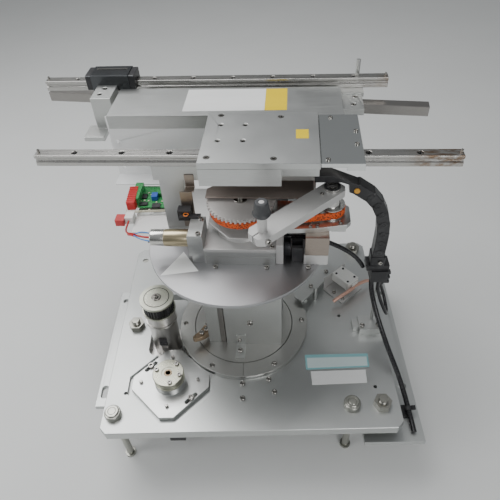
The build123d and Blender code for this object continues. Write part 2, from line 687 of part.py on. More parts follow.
with BuildPart() as board_tray:
    plate(-147.0, -40.0, 8.0, 108.0, disc_top, disc_top + tray_thick)
store(board_tray.part, "board_tray", turned=True)

with BuildPart() as circuit_board:
    plate(-158.0, -100.0, 56.0, 106.0, disc_top + 6.0, disc_top + 7.6)
    for x, y in ((-140.0, 62.0), (-106.0, 62.0), (-140.0, 100.0), (-106.0, 100.0)):
        disc(x, y, 2.5, disc_top + 2.0, disc_top + 6.0)
    plate(-156.0, -145.0, 60.0, 98.0, disc_top + 7.6, disc_top + 20.0)
    plate(-124.0, -116.0, 80.0, 90.0, disc_top + 7.6, disc_top + 14.0)
store(circuit_board.part, "circuit_board", turned=True)

foot_block_top = 203.0
with BuildPart() as side_plate:
    plate(unit_x1, unit_x1 + 9.0, unit_front + 2.0, -26.5, disc_top, 219.0)
    plate(unit_x1, unit_x1 + 9.0, -26.5, idler_back, disc_top, idler_z0)
    plate(89.0, 119.0, -46.0, -31.5, disc_top, foot_block_top)
store(side_plate.part, "side_plate", turned=True)

with BuildPart() as encoder_disc:
    rod((unit_x1 + 9.3, -30.0, 203.0), (unit_x1 + 18.5, -30.0, 203.0), 13.0)
    fillet(encoder_disc.edges().filter_by(GeomType.CIRCLE), 1.2)
store(encoder_disc.part, "encoder_disc", turned=True)

with BuildPart() as photo_sensors:
    # forked sensor behind the gear block
    plate(-72.0, -55.3, -8.0, 4.0, 225.0, 241.0)
    plate(-69.0, -58.0, -14.0, -8.0, 231.0, 236.0)
    plate(-62.0, -42.0, -13.0, -5.0, 233.0, 235.0)
    # forked sensor beside the encoder disc
    plate(unit_x1 + 19.5, 88.0, -42.0, -22.0, disc_top, 193.0)
    plate(unit_x1 + 19.5, 88.0, -42.0, -36.0, 193.0, 211.0)
    plate(unit_x1 + 19.5, 88.0, -28.0, -22.0, 193.0, 211.0)
store(photo_sensors.part, "photo_sensors", turned=True)

with BuildPart() as sheet_brackets:
    plate(90.0, 119.0, -46.0, -44.8, foot_block_top, idler_z0 - 1.2)
    plate(90.0, 119.0, -46.0, -28.0, idler_z0 - 1.2, idler_z0)
    # sheet behind the forked sensor, hung from the rail beam
    plate(-68.0, -52.0, 4.0, 5.5, 205.0, 262.0)
    plate(-62.0, -50.0, 5.5, beam_y0, 260.5, 262.0)
    plate(-62.0, -50.0, beam_y0 - 1.5, beam_y0, 262.0, 280.0)
store(sheet_brackets.part, "sheet_brackets", turned=True)

# ---------------------------------------------------------------- rails and their frame
with BuildPart() as stop_pins:
    disc(169.0, 243.5, 3.0, rail_z0, 325.0)
    # pillars under the cover's rear edge
    for x in (-135.0, 0.0, 130.0):
        disc(x, 207.5, 2.8, rail_z0, cover_top - sheet)
rail_frame = Compound([
    block(-102.0, 108.0, beam_y0, beam_y1, beam_z0, rail_z0),
    block(-96.0, -64.0, beam_y0 + 2.2, beam_y0 + 14.2, disc_top + tray_thick, beam_z0),
    block(78.0, 104.0, post_front, beam_y1, disc_top, beam_z0),
    # carrier towards the rear rail, on two posts
    block(-30.0, 100.0, beam_y1, 240.0, carrier_z0, carrier_z1),
    block(-30.0, -12.0, 62.0, 78.0, disc_top, carrier_z0),
    block(50.0, 68.0, 62.0, 78.0, disc_top, carrier_z0),
    block(-30.0, 100.0, beam_y1, 53.0, carrier_z1, rail_z0 - 4.0),
    # rear rail plate with its tab, and its two spacers
    block(-150.0, 176.0, 204.0, 238.0, rear_plate_z0, rail_z0),
    block(160.0, 176.0, 238.0, 250.0, rear_plate_z0, rail_z0),
    block(-28.0, 0.0, 196.0, 207.0, carrier_z1, rear_plate_z0),
    block(66.0, 96.0, 224.0, 240.0, carrier_z1, rear_plate_z0),
    *stop_pins.solids(),
])
store(rail_frame, "rail_frame", turned=True)


def linear_rail(x0, y):
    """Build a profiled rail with counterbored holes along X, starting at x0."""
    with BuildPart() as rail:
        with BuildSketch(Plane.YZ.offset(x0)):
            half = rail_width / 2
            with Locations((y, rail_z0 + rail_height / 2)):
                Rectangle(rail_width, rail_height)
            # the grooves that the balls run in
            for side in (-1, 1):
                with BuildLine():
                    outer, inner = y + side * half, y + side * (half - 2.0)
                    Polyline((outer, rail_z0 + 5.5), (inner, rail_z0 + 7.0), (inner, rail_z0 + 9.5),
                             (outer, rail_z0 + 11.0), close=True)
                make_face(mode=Mode.SUBTRACT)
        extrude(amount=rail_length)
        holes = [(x0 + rail_end + rail_pitch * i, y) for i in range(8)]
        with Locations(*[(hx, hy, rail_z0 + rail_height) for hx, hy in holes]):
            CounterBoreHole(2.25, 3.75, 5.3, depth=rail_height)
    return rail


front_rail = linear_rail(front_rail_x0, front_rail_y)
store(front_rail.part, "front_rail", turned=True)
rear_rail = linear_rail(rear_rail_x0, rear_rail_y)
store(rear_rail.part, "rear_rail", turned=True)


def rail_block(x, y):
    """Build a bearing block that straddles a rail, centred at x."""
    with BuildPart() as block:
        plate(x - block_length / 2, x + block_length / 2, y - block_width / 2, y + block_width / 2,
              rail_z0 + block_clear, block_top)
        for side in (-1, 1):
            end = x + side * (block_length / 2 + 4.0)
            plate(end - 4.0, end + 4.0, y - block_width / 2 + 1, y + block_width / 2 - 1,
                  rail_z0 + block_clear + 1, block_top - 1.5)
        # channel that clears the rail
        half = rail_width / 2 + free_gap
        plate(x - 45, x + 45, y - half, y + half, rail_z0, rail_z0 + rail_height + free_gap,
              Mode.SUBTRACT)
        chamfer(block.faces().sort_by(Axis.Z)[-1].edges().filter_by(Axis.X), 1.5)
    return block


carriage_block = rail_block(front_block_x, front_rail_y)
store(carriage_block.part, "carriage_block", turned=True)
rear_block = rail_block(rear_block_x, rear_rail_y)
store(rear_block.part, "rear_block", turned=True)

with BuildPart() as carriage_plate:
    plate(-34.0, 104.0, -30.0, 83.0, deck_z0, deck_z1)
    plate(104.0, 132.0, -24.0, 66.0, deck_z0, deck_z0 + 4.0)
    chamfer(carriage_plate.faces().sort_by(Axis.Z)[-1].edges(), 0.5)
    with Locations((-17.0, 86.0 - 10.0, deck_z1), (58.0, 72.0, deck_z1), (-24.0, -18.0, deck_z1),
                   (52.0, -20.0, deck_z1)):
        CounterSinkHole(2.2, 4.2, depth=deck_z1 - deck_z0)
    with Locations(*[(x, y, deck_z1) for x in (-15.0, 15.0) for y in (17.0, 53.0)]):
        CounterBoreHole(1.8, 3.3, 4.5, depth=deck_z1 - deck_z0)
store(carriage_plate.part, "carriage_plate", turned=True)

with BuildPart() as mirror_plate:
    plate(104.2, 152.0, -32.0, 74.0, deck_z0 + 4.0, deck_z1 + 1.5)
    plate(132.3, 152.0, -32.0, 74.0, deck_z0, deck_z0 + 4.0)
    chamfer(mirror_plate.faces().sort_by(Axis.Z)[-1].edges(), 0.6)
store(mirror_plate.part, "mirror_plate", turned=True)

with BuildPart() as drive_block:
    plate(-34.0, 61.0, -30.0, -12.0, 297.0, deck_z0)
    plate(61.0, 104.0, -15.0, -5.0, 300.0, deck_z0)
store(drive_block.part, "drive_block", turned=True)

with BuildPart() as hook_bracket:
    plate(-222.0, -192.0, 168.0, rear_rail_y - block_width / 2, 284.0, 305.0)
    plate(-222.0, -194.0, 168.0, 176.0, 257.0, 284.0)
    plate(-236.0, -205.0, 142.0, 176.0, 250.0, 257.0)
    with Locations((-208.0, 200.0, 305.0), (-211.0, 182.0, 305.0)):
        CounterBoreHole(2.2, 4.0, 4.0, depth=21.0)
store(hook_bracket.part, "hook_bracket", turned=True)

box_cover = Compound([
    block(cover_x0, cover_x1, cover_y0, cover_y1, cover_top - sheet, cover_top),
    block(cover_x0, cover_x1, cover_y0, cover_y0 + sheet, cover_top - 20.0, cover_top - sheet),
])
store(box_cover, "box_cover", turned=True)

panel_y = cover_y0 + sheet
with BuildPart() as side_sheet:
    plate(cover_x0 - 3.0, -30.0, panel_y, panel_y + sheet, 200.0, cover_top - sheet)
    for x, z in ((-181.0, 258.0), (-181.0, 212.0)):
        rod((x, panel_y - 1, z), (x, panel_y + 3, z), 2.2, Mode.SUBTRACT)
side_panel = Compound([
    *side_sheet.solids(),
    block(cover_x0 - 3.0, -100.0, panel_y - 26.0, panel_y + sheet, 200.0 - sheet, 200.0),
])
store(side_panel, "side_panel", turned=True)

bar_turn = -5.6
bar_width, bar_tall = 17.0, 15.0
with BuildPart() as cross_bar:
    with BuildSketch(Plane.XY.offset(265.0)):
        with Locations(Location((-24.0, 219.5, 0), bar_turn)):
            Rectangle(590.0, bar_width)
    extrude(amount=bar_tall)
    chamfer(cross_bar.edges().filter_by(GeomType.LINE).group_by(SortBy.LENGTH)[-1], 0.6)
store(cross_bar.part, "cross_bar", turned=True)

with BuildPart() as end_block:
    plate(143.0, 173.0, 160.0, 203.5, 265.0 + bar_tall, 290.0)
    with Locations((163.0, 197.0, 290.0), (159.0, 174.0, 290.0)):
        CounterBoreHole(2.2, 4.0, 4.0, depth=10.0)
store(end_block.part, "end_block", turned=True)

deck_lift, deck_thick = 2.5, 2.0
deck_front = -5.5
with BuildPart() as deck_plate:
    with BuildSketch(Plane.XY.offset(carrier_z0 + deck_lift)):
        with BuildLine():
            Polyline((-34.0, deck_front), (100.0, deck_front), (100.0, post_front), (78.0, post_front),
                     (78.0, beam_y1), (-14.0, beam_y1), (-14.0, 29.0), (-34.0, 12.5), close=True)
        make_face()
    extrude(amount=deck_thick)
store(deck_plate.part, "deck_plate", turned=True)

# ---------------------------------------------------------------- cable chain and cables
chain_y, chain_width = 7.0, 18.0
chain_points = [(152.0, 271.0), (169.0, 259.0),
                (179.0, 247.0), (186.0, 232.0), (190.0, 216.0), (191.5, 199.5), (191.5, 183.0),
                (191.0, 167.0), (190.5, 152.0)]
link_tall = 16.0
with BuildPart() as cable_chain:
    for (xa, za), (xb, zb) in zip(chain_points, chain_points[1:]):
        along = Vector(xb - xa, 0, zb - za)
        middle = ((xa + xb) / 2, chain_y, (za + zb) / 2)
        face = Plane(origin=middle, x_dir=along, z_dir=(0, -1, 0))
        with BuildSketch(face.offset(-chain_width / 2)) as link:
            RectangleRounded(along.length + 1.2, link_tall, 4.0)
        extrude(link.sketch, amount=chain_width)
    # end bracket on the beam and end shoe over the post clamp
    with BuildSketch(Plane.XZ.offset(-(chain_y + chain_width / 2 - 0.3))) as arm:
        with BuildLine():
            Polyline((108.0, 291.5), (120.0, 291.5), (160.0, 274.5), (154.0, 262.0), (142.0, 267.0),
                     (141.5, 278.0), (132.0, 281.5), (108.0, 281.5), close=True)
        make_face()
    extrude(arm.sketch, amount=chain_width - 0.6)
    plate(100.0, 118.0, 8.0, beam_y0, 281.5, 291.5)
    plate(181.0, 201.0, chain_y - 10.0, chain_y + 10.0, post_top + 30.4, 158.0)
store(cable_chain.part, "cable_chain", turned=True)

bracket_route = [(64.0, -8.5, 201.0), (80.0, -9.0, 201.0), (98.0, -13.0, 203.0),
                 (116.0, -15.0, 199.5), (132.0, -14.0, 190.5), (146.0, -10.0, 178.0),
                 (158.0, -5.0, 163.5), (167.0, 0.5, 148.0), (173.5, 5.0, 133.0)]
bracket_cable = cord("bracket_cable", bracket_route, 6.0)
store(bracket_cable.part, "bracket_cable", turned=True)

main_route = [(189.0, -6.0, 112.0), (189.0, -6.0, 100.0), (191.0, -13.0, 82.0),
              (197.0, -27.0, 60.0), (205.0, -47.0, 38.5), (213.5, -71.5, 20.5),
              (222.5, -97.5, 5.5), (229.0, -120.0, -9.0), (232.5, -140.0, -19.5),
              (234.5, -157.0, -25.5), (235.0, -172.0, -27.5)]
main_cable = cord("main_cable", main_route, 2 * cord_r)
store(main_cable.part, "main_cable")

loop_diameter = 5.0
loop_route = [(197.0, -14.5, 112.0), (197.0, -14.5, 99.0), (200.0, -19.0, 84.0),
              (206.0, -24.0, 68.0), (212.5, -25.5, 53.0), (217.0, -20.5, 42.5), (219.5, -10.0, 37.5),
              (219.8, 1.5, 39.5), (218.0, 10.0, 48.0), (214.0, 14.0, 60.5), (209.0, 12.5, 75.0),
              (205.0, 6.5, 90.0), (203.5, 1.8, 101.0), (203.5, 1.8, 112.0)]
loop_cable = cord("loop_cable", loop_route, loop_diameter)
store(loop_cable.part, "loop_cable")
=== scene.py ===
"""Looks of a wafer transfer robot: finishes, cables, chain links, screws and small fittings.

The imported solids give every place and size. This script dresses them, adds the pieces that are too
fine for the solids, and sets a pale studio round the robot. All lengths in the classes are in
millimetres and are turned into metres where a mesh is made.
"""

from __future__ import annotations

import logging
import math
from dataclasses import dataclass, field
from enum import Enum
from typing import Callable, Iterable, Sequence, Union

import bpy
import numpy as np
from mathutils import Matrix, Vector


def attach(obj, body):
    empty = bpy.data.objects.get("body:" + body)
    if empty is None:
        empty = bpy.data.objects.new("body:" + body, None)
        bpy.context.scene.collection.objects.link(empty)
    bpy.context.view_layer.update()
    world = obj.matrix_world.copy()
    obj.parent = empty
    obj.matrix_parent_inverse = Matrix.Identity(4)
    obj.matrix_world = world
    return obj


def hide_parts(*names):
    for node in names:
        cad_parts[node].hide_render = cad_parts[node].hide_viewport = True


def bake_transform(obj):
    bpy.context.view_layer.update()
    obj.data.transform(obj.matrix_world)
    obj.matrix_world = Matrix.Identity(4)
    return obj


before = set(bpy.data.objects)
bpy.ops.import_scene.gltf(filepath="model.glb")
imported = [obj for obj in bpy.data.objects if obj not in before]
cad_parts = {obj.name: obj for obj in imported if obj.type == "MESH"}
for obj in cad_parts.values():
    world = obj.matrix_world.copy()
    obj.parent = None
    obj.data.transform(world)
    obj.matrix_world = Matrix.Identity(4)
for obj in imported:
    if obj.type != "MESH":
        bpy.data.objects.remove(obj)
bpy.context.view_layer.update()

LOG = logging.getLogger("robot_looks")
MM = 0.001
TURN_AT_REST = math.radians(-3.9)
Point = tuple[float, float, float]
Colour = tuple[float, float, float]
Outline = Sequence[tuple[float, float]]
Shape = Callable[[np.ndarray, np.ndarray], np.ndarray]
Socket = bpy.types.NodeSocket
Value = Union[float, tuple, Socket]
UPWARDS: Point = (0.0, 0.0, 1.0)
HUB = (-105.974, -102.983)
TOWER = (-121.0, -23.0)
WHEEL: Point = (9.3, -2.0, 0.0)
KEY_ROWS = slice(5, 7)
TOOTH_DEPTH = 0.9


# ---- places and surfaces
def turned(points: Sequence[Point] | np.ndarray) -> np.ndarray:
    """Turn points that are drawn square with the turntable to where it stands at rest.

    Each (x, y) becomes (x cos a - y sin a, x sin a + y cos a), with a the rest angle.

    Args:
        points: points in millimetres, one per row.

    Returns:
        The turned points, in millimetres.
    """
    p = np.atleast_2d(np.asarray(points, float))
    c, s = math.cos(TURN_AT_REST), math.sin(TURN_AT_REST)
    out = p.copy()
    out[:, 0] = p[:, 0] * c - p[:, 1] * s
    out[:, 1] = p[:, 0] * s + p[:, 1] * c
    return out


@dataclass
class Surface:
    """Points and faces of one closed piece, in millimetres."""

    points: np.ndarray
    faces: list[tuple[int, ...]]

    def moved(self, offset: Point) -> "Surface":
        """Give the same surface shifted by an offset."""
        return Surface(self.points + np.asarray(offset, float), self.faces)

    def spun(self, angle: float) -> "Surface":
        """Give the same surface turned about Z by an angle in degrees."""
        a = math.radians(angle)
        turn = np.array([[math.cos(a), -math.sin(a), 0], [math.sin(a), math.cos(a), 0], [0, 0, 1]])
        return Surface(self.points @ turn.T, self.faces)

    def along(self, direction: Point) -> "Surface":
        """Give the same surface with its Z axis laid along a direction."""
        z = np.asarray(direction, float)
        z = z / np.linalg.norm(z)
        aside = np.array([1.0, 0, 0]) if abs(z[0]) < 0.8 else np.array([0, 1.0, 0])
        y = np.cross(z, aside)
        y /= np.linalg.norm(y)
        x = np.cross(y, z)
        return Surface(self.points @ np.stack([x, y, z]), self.faces)

    def with_turntable(self) -> "Surface":
        """Give the same surface turned with the turntable."""
        return Surface(turned(self.points), self.faces)


def joined(parts: Iterable[Surface]) -> Surface:
    """Put several surfaces into one, with their face numbers moved on."""
    points, faces, count = [], [], 0
    for part in parts:
        points.append(part.points)
        faces.extend(tuple(i + count for i in f) for f in part.faces)
        count += len(part.points)
    return Surface(np.concatenate(points), faces)


def capped(rows: int, sides: int) -> list[tuple[int, ...]]:
    """List the faces of a stack of closed rings: quads between the rings, then both end faces.

    Point i of ring r has the number r sides + i.
    """
    r, c = np.meshgrid(np.arange(rows - 1), np.arange(sides), indexing="ij")
    a = (r * sides + c).ravel()
    b = (r * sides + (c + 1) % sides).ravel()
    quads = [tuple(map(int, q)) for q in np.stack([a, b, b + sides, a + sides], axis=1)]
    last = (rows - 1) * sides
    return quads + [tuple(range(sides - 1, -1, -1)), tuple(range(last, last + sides))]


def lathe(profile: Outline, sides: int = 32, shape: Shape | None = None) -> Surface:
    """Turn a profile of (radius, height) pairs about Z, with its two ends closed.

    A point at row i and angle t is (r cos t, r sin t, z); shape may change r by row and angle.

    Args:
        profile: radius and height of each row, from the bottom middle outwards and up.
        sides: how many points go round.
        shape: takes the radii and angles as arrays and gives new radii.

    Returns:
        The closed surface.
    """
    rows = np.asarray(profile, float)
    t = np.linspace(0, 2 * math.pi, sides, endpoint=False)
    radius = np.repeat(rows[:, :1], sides, axis=1)
    if shape is not None:
        radius = shape(radius, np.repeat(t[None, :], len(rows), axis=0))
    height = np.repeat(rows[:, 1:], sides, axis=1)
    points = np.stack([radius * np.cos(t), radius * np.sin(t), height], axis=-1).reshape(-1, 3)
    return Surface(points, capped(len(rows), sides))


def ring(profile: Outline, sides: int, shape: Shape | None = None) -> Surface:
    """Turn a closed profile about Z, so that the piece is open through its middle."""
    solid = lathe(profile, sides, shape)
    last = (len(profile) - 1) * sides
    inside = [(last + i, last + (i + 1) % sides, (i + 1) % sides, i) for i in range(sides)]
    return Surface(solid.points, solid.faces[:-2] + inside)


def prism(outline: Outline, z0: float, z1: float) -> Surface:
    """Raise a closed outline, given anticlockwise, from one height to another."""
    flat = np.asarray(outline, float)
    n = len(flat)
    low = np.column_stack([flat, np.full(n, z0)])
    high = np.column_stack([flat, np.full(n, z1)])
    return Surface(np.concatenate([low, high]), capped(2, n))


def slab(x0: float, x1: float, y0: float, y1: float, z0: float, z1: float,
         corner: float = 0.0) -> Surface:
    """Build a flat block whose upright edges are rounded by quarter circles of radius corner."""
    if corner <= 0:
        return prism([(x0, y0), (x1, y0), (x1, y1), (x0, y1)], z0, z1)
    quarter = math.pi / 2
    middles = [(x1 - corner, y1 - corner, 0), (x0 + corner, y1 - corner, 1),
               (x0 + corner, y0 + corner, 2), (x1 - corner, y0 + corner, 3)]
    outline = [(cx + corner * math.cos(a + q * quarter), cy + corner * math.sin(a + q * quarter))
               for cx, cy, q in middles for a in np.linspace(0, quarter, 6)]
    return prism(outline, z0, z1)


def around(x: float, y: float, radius: float, *degrees: float) -> list[tuple[float, float]]:
    """List the points (x + r cos a, y + r sin a) at some angles a of a circle."""
    return [(x + radius * math.cos(a), y + radius * math.sin(a))
            for a in map(math.radians, degrees)]


def tube(path: np.ndarray, radius: float, sides: int = 12) -> Surface:
    """Carry a circle along a path, kept from twisting by moving its frame step by step.

    Each ring is centre + radius (u cos t + v sin t), where u is the last ring's u made square to
    the new direction, and v is the direction crossed with u.

    Args:
        path: centre points, one per row, in millimetres.
        radius: radius of the tube.
        sides: points round each ring.

    Returns:
        The closed tube.
    """
    direction = np.gradient(path, axis=0)
    direction /= np.linalg.norm(direction, axis=1, keepdims=True)
    t = np.linspace(0, 2 * math.pi, sides, endpoint=False)
    u = np.cross(direction[0], [0.3, 0.2, 1.0])
    rings = []
    for centre, d in zip(path, direction):
        u = u - d * np.dot(u, d)
        u /= np.linalg.norm(u)
        v = np.cross(d, u)
        rings.append(centre + radius * (np.outer(np.cos(t), u) + np.outer(np.sin(t), v)))
    return Surface(np.concatenate(rings), capped(len(path), sides))


def keyed(radius: np.ndarray, t: np.ndarray) -> np.ndarray:
    """Make a screw's key hole a hexagon: r / cos(the angle from the flat's middle)."""
    out = radius.copy()
    sector = np.mod(t[KEY_ROWS], math.pi / 3) - math.pi / 6
    out[KEY_ROWS] = radius[KEY_ROWS] / np.cos(sector)
    return out


def ribbed(radius: np.ndarray, t: np.ndarray) -> np.ndarray:
    """Pull every other point of the middle rows inwards, as the teeth of a belt pulley."""
    out = radius.copy()
    out[1:3, ::2] -= TOOTH_DEPTH
    return out


def socket_screw(r: float, tall: float) -> Surface:
    """Build a socket-head screw standing on z = 0: a lathe whose inner rows are hexagonal."""
    key = 0.48 * r
    rows = [(0.01, 0), (r, 0), (r, tall - 0.12 * r), (r - 0.12 * r, tall), (key + 0.12 * r, tall),
            (key, tall - 0.1 * r), (key, tall * 0.45), (0.01, tall * 0.40)]
    return lathe(rows, 24, keyed)


def countersunk_screw(r: float) -> Surface:
    """Build a flat screw head whose top is at z = 0, with a hexagonal key hole."""
    key = 0.45 * r
    rows = [(0.01, -0.7 * r), (0.45 * r, -0.7 * r), (0.97 * r, -0.12 * r), (0.97 * r, -0.02),
            (key + 0.08 * r, -0.02), (key, -0.08 * r), (key, -0.5 * r), (0.01, -0.55 * r)]
    return lathe(rows, 24, keyed)


class Piece:
    """Makes an object of the robot out of a surface, and sends it to a body."""

    @staticmethod
    def make(name: str, surface: Surface, finish: "Finish", body: str | None = None,
             slot: str | None = None, smooth: float = 32.0, bevel: float = 0.0) -> bpy.types.Object:
        """Make a mesh object in metres with smooth faces up to an angle.

        Args:
            name: the piece's name.
            surface: its surface, in millimetres, in the robot's frame.
            finish: what it is dressed with.
            body: the body it rides on, or None where it rides on none.
            slot: the record's material slot, where it isn't the finish's own; not used.
            smooth: edges sharper than this many degrees stay sharp.
            bevel: width in millimetres of a rounded edge, or 0.

        Returns:
            The new object.
        """
        mesh = bpy.data.meshes.new(name)
        mesh.from_pydata([tuple(p) for p in surface.points * MM], [], surface.faces)
        mesh.update()
        mesh.polygons.foreach_set("use_smooth", np.ones(len(mesh.polygons), bool))
        mesh.set_sharp_from_angle(angle=math.radians(smooth))
        obj = placed(name, mesh)
        mesh.materials.append(finish.material())
        if bevel > 0:
            round_edges(obj, bevel, 40.0).harden_normals = True
        if body is not None:
            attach(obj, body)
        if slot or finish.slot:
            slot or finish.slot
        LOG.info("made %s with %d faces", name, len(mesh.polygons))
        return obj

    @staticmethod
    def turning(name: str, surface: Surface, finish: "Finish", body: str | None = "turntable",
                **more: object) -> bpy.types.Object:
        """Make a piece that is drawn square with the turntable and stands turned with it."""
        return Piece.make(name, surface.with_turntable(), finish, body, **more)


def placed(name: str, data: bpy.types.ID) -> bpy.types.Object:
    """Put a mesh, curve, light or camera into the scene as an object."""
    obj = bpy.data.objects.new(name, data)
    bpy.context.scene.collection.objects.link(obj)
    return obj


def round_edges(obj: bpy.types.Object, width: float, above: float) -> bpy.types.Modifier:
    """Round the edges sharper than an angle in degrees, to a width in millimetres."""
    edge = obj.modifiers.new("edge", "BEVEL")
    edge.width = width * MM
    edge.segments = 2
    edge.limit_method = "ANGLE"
    edge.angle_limit = math.radians(above)
    return edge


# ---- finishes
class Grain(Enum):
    """How a metal surface was worked, with the stretch of its marks along X, Y and Z."""

    ALONG_X = (12.0, 900.0, 900.0)
    ALONG_Y = (900.0, 12.0, 900.0)
    ALONG_Z = (900.0, 900.0, 12.0)
    BLASTED = (1500.0, 1500.0, 1500.0)


class Chart:
    """A material's node tree while it is being drawn."""

    def __init__(self, name: str) -> None:
        """Start a material with one Principled shader."""
        self.made = bpy.data.materials.new(name)
        self.made.use_nodes = True
        self.tree = self.made.node_tree
        self.shader = self.tree.nodes["Principled BSDF"]
        self.place = self.node("ShaderNodeTexCoord").outputs["Object"]

    def fill(self, node: bpy.types.Node, inputs: dict[str | int, Value]) -> None:
        """Give a node's inputs a value or a link."""
        for key, value in inputs.items():
            if isinstance(value, Socket):
                self.tree.links.new(value, node.inputs[key])
            else:
                node.inputs[key].default_value = value

    def node(self, kind: str, inputs: dict[str | int, Value] | None = None,
             **settings: object) -> bpy.types.Node:
        """Add a node, set its plain properties and fill its inputs."""
        made = self.tree.nodes.new(kind)
        for key, value in settings.items():
            setattr(made, key, value)
        self.fill(made, inputs or {})
        return made

    def set(self, **looks: Value) -> None:
        """Fill the shader's own inputs, written with underscores for spaces."""
        self.fill(self.shader, {key.replace("_", " "): value for key, value in looks.items()})

    def noise(self, stretch: Sequence[float], detail: float = 3.0,
              rough: float = 0.55) -> Socket:
        """Give a noise value between 0 and 1 on stretched object coordinates."""
        mapping = self.node("ShaderNodeMapping", {"Scale": tuple(stretch), "Vector": self.place})
        noise = self.node("ShaderNodeTexNoise", {"Scale": 1.0, "Detail": detail, "Roughness": rough,
                                                 "Vector": mapping.outputs["Vector"]})
        return noise.outputs["Fac"]

    def maths(self, operation: str, *terms: Value) -> Socket:
        """Work out one operation on values or links."""
        return self.node("ShaderNodeMath", dict(enumerate(terms)), operation=operation).outputs[0]

    def spread(self, value: Socket, low: float, high: float, start: float = 0.3,
               end: float = 0.7) -> Socket:
        """Stretch a value from start..end to low..high, held at both ends."""
        return self.node("ShaderNodeMapRange", {
            "From Min": start, "From Max": end, "To Min": low, "To Max": high,
            "Value": value}).outputs["Result"]

    def blend(self, value: Socket, one: Colour, other: Colour) -> Socket:
        """Mix two colours by a value."""
        return self.node("ShaderNodeMix", {0: value, 6: (*one, 1.0), 7: (*other, 1.0)},
                         data_type="RGBA").outputs[2]

    def bump(self, value: Socket, strength: float, depth: float) -> None:
        """Raise the surface by a value, to a depth in millimetres."""
        made = self.node("ShaderNodeBump", {"Strength": strength, "Distance": depth * MM,
                                            "Height": value})
        self.set(Normal=made.outputs["Normal"])


@dataclass(frozen=True)
class Finish:
    """A finish by name, with the record's slot it belongs to; each kind draws its own material."""

    name: str
    colour: Colour
    slot: str | None = field(default=None, kw_only=True)

    def material(self) -> bpy.types.Material:
        """Give the finish's material, drawn the first time it is asked for."""
        found = bpy.data.materials.get(self.name)
        if found is not None and found.get("robot_finish"):
            return found
        chart = Chart(self.name)
        chart.made["robot_finish"] = True
        self.draw(chart)
        return chart.made

    def draw(self, chart: Chart) -> None:
        """Fill the node tree; kinds of finish replace this."""
        chart.set(Base_Color=(*self.colour, 1.0))

    def shade(self, factor: float) -> Colour:
        """Give the colour made lighter or darker by a factor."""
        return tuple(min(1.0, c * factor) for c in self.colour)

    def dusty(self, lift: float) -> Colour:
        """Give the colour with the same share of dust added to red, green and blue."""
        return tuple(c + lift for c in self.colour)


@dataclass(frozen=True)
class Metal(Finish):
    """Bare or anodised metal: fine grain in the gloss, and a soft cloud of handling marks."""

    gloss: float = 0.32
    spread: float = 0.08
    depth: float = 0.012
    cloud: float = 0.10
    metallic: float = 1.0
    grain: Grain = Grain.BLASTED

    def draw(self, chart: Chart) -> None:
        """Roughness follows the grain; colour follows the grain and a slow cloud."""
        fine = chart.noise(self.grain.value, detail=4.0)
        cloud = chart.noise((18.0, 18.0, 18.0), detail=5.0, rough=0.6)
        tone = chart.maths("MULTIPLY_ADD", fine, 0.55, chart.maths("MULTIPLY", cloud, 0.45))
        chart.set(Base_Color=chart.blend(chart.spread(tone, 0.0, 1.0, 0.32, 0.68),
                                         self.shade(1.0 - self.cloud),
                                         self.shade(1.0 + self.cloud * 0.5)),
                  Roughness=chart.spread(tone, self.gloss - self.spread, self.gloss + self.spread),
                  Metallic=self.metallic)
        chart.bump(fine, 0.35, self.depth)


@dataclass(frozen=True)
class Paint(Finish):
    """Smooth sheet paint with a slight orange peel and faint wipe marks."""

    gloss: float = 0.30
    peel: float = 260.0

    def draw(self, chart: Chart) -> None:
        """The peel is a low bump; wipe marks change gloss and tone slightly."""
        wipe = chart.noise((9.0, 30.0, 22.0), detail=5.0, rough=0.65)
        chart.set(Base_Color=chart.blend(chart.spread(wipe, 0, 1), self.shade(0.95),
                                         self.shade(1.02)),
                  Roughness=chart.spread(wipe, self.gloss - 0.05, self.gloss + 0.08),
                  Coat_Weight=0.15, Coat_Roughness=0.2)
        chart.bump(chart.noise((self.peel,) * 3, detail=2.0), 0.25, 0.02)


@dataclass(frozen=True)
class Plastic(Finish):
    """Moulded plastic with a fine spark-eroded texture and dust in its tone."""

    gloss: float = 0.42
    texture: float = 1400.0
    depth: float = 0.02

    def draw(self, chart: Chart) -> None:
        """Texture gives the bump; dust lifts the colour where a slow noise is high."""
        fine = chart.noise((self.texture,) * 3, detail=2.0)
        dust = chart.noise((40.0, 40.0, 40.0), detail=6.0, rough=0.7)
        chart.set(Base_Color=chart.blend(chart.spread(dust, 0, 1, 0.45, 0.75), self.colour,
                                         self.dusty(0.035)),
                  Roughness=chart.spread(fine, self.gloss - 0.08, self.gloss + 0.08))
        chart.bump(fine, 0.3, self.depth)


@dataclass(frozen=True)
class Rubber(Finish):
    """Belt rubber: a dull skin with light specks."""

    speck: Colour = (0.2, 0.2, 0.2)
    speck_share: float = 0.62

    def draw(self, chart: Chart) -> None:
        """Specks are the peaks of a coarse noise; a finer one roughens the skin."""
        coarse = chart.noise((520.0, 520.0, 520.0), detail=2.0)
        fine = chart.noise((2200.0, 2200.0, 2200.0), detail=2.0)
        mask = chart.spread(coarse, 0.0, 1.0, self.speck_share - 0.03, self.speck_share + 0.03)
        chart.set(Base_Color=chart.blend(mask, self.colour, self.speck),
                  Roughness=chart.spread(fine, 0.5, 0.75))
        chart.bump(coarse, 0.5, 0.15)


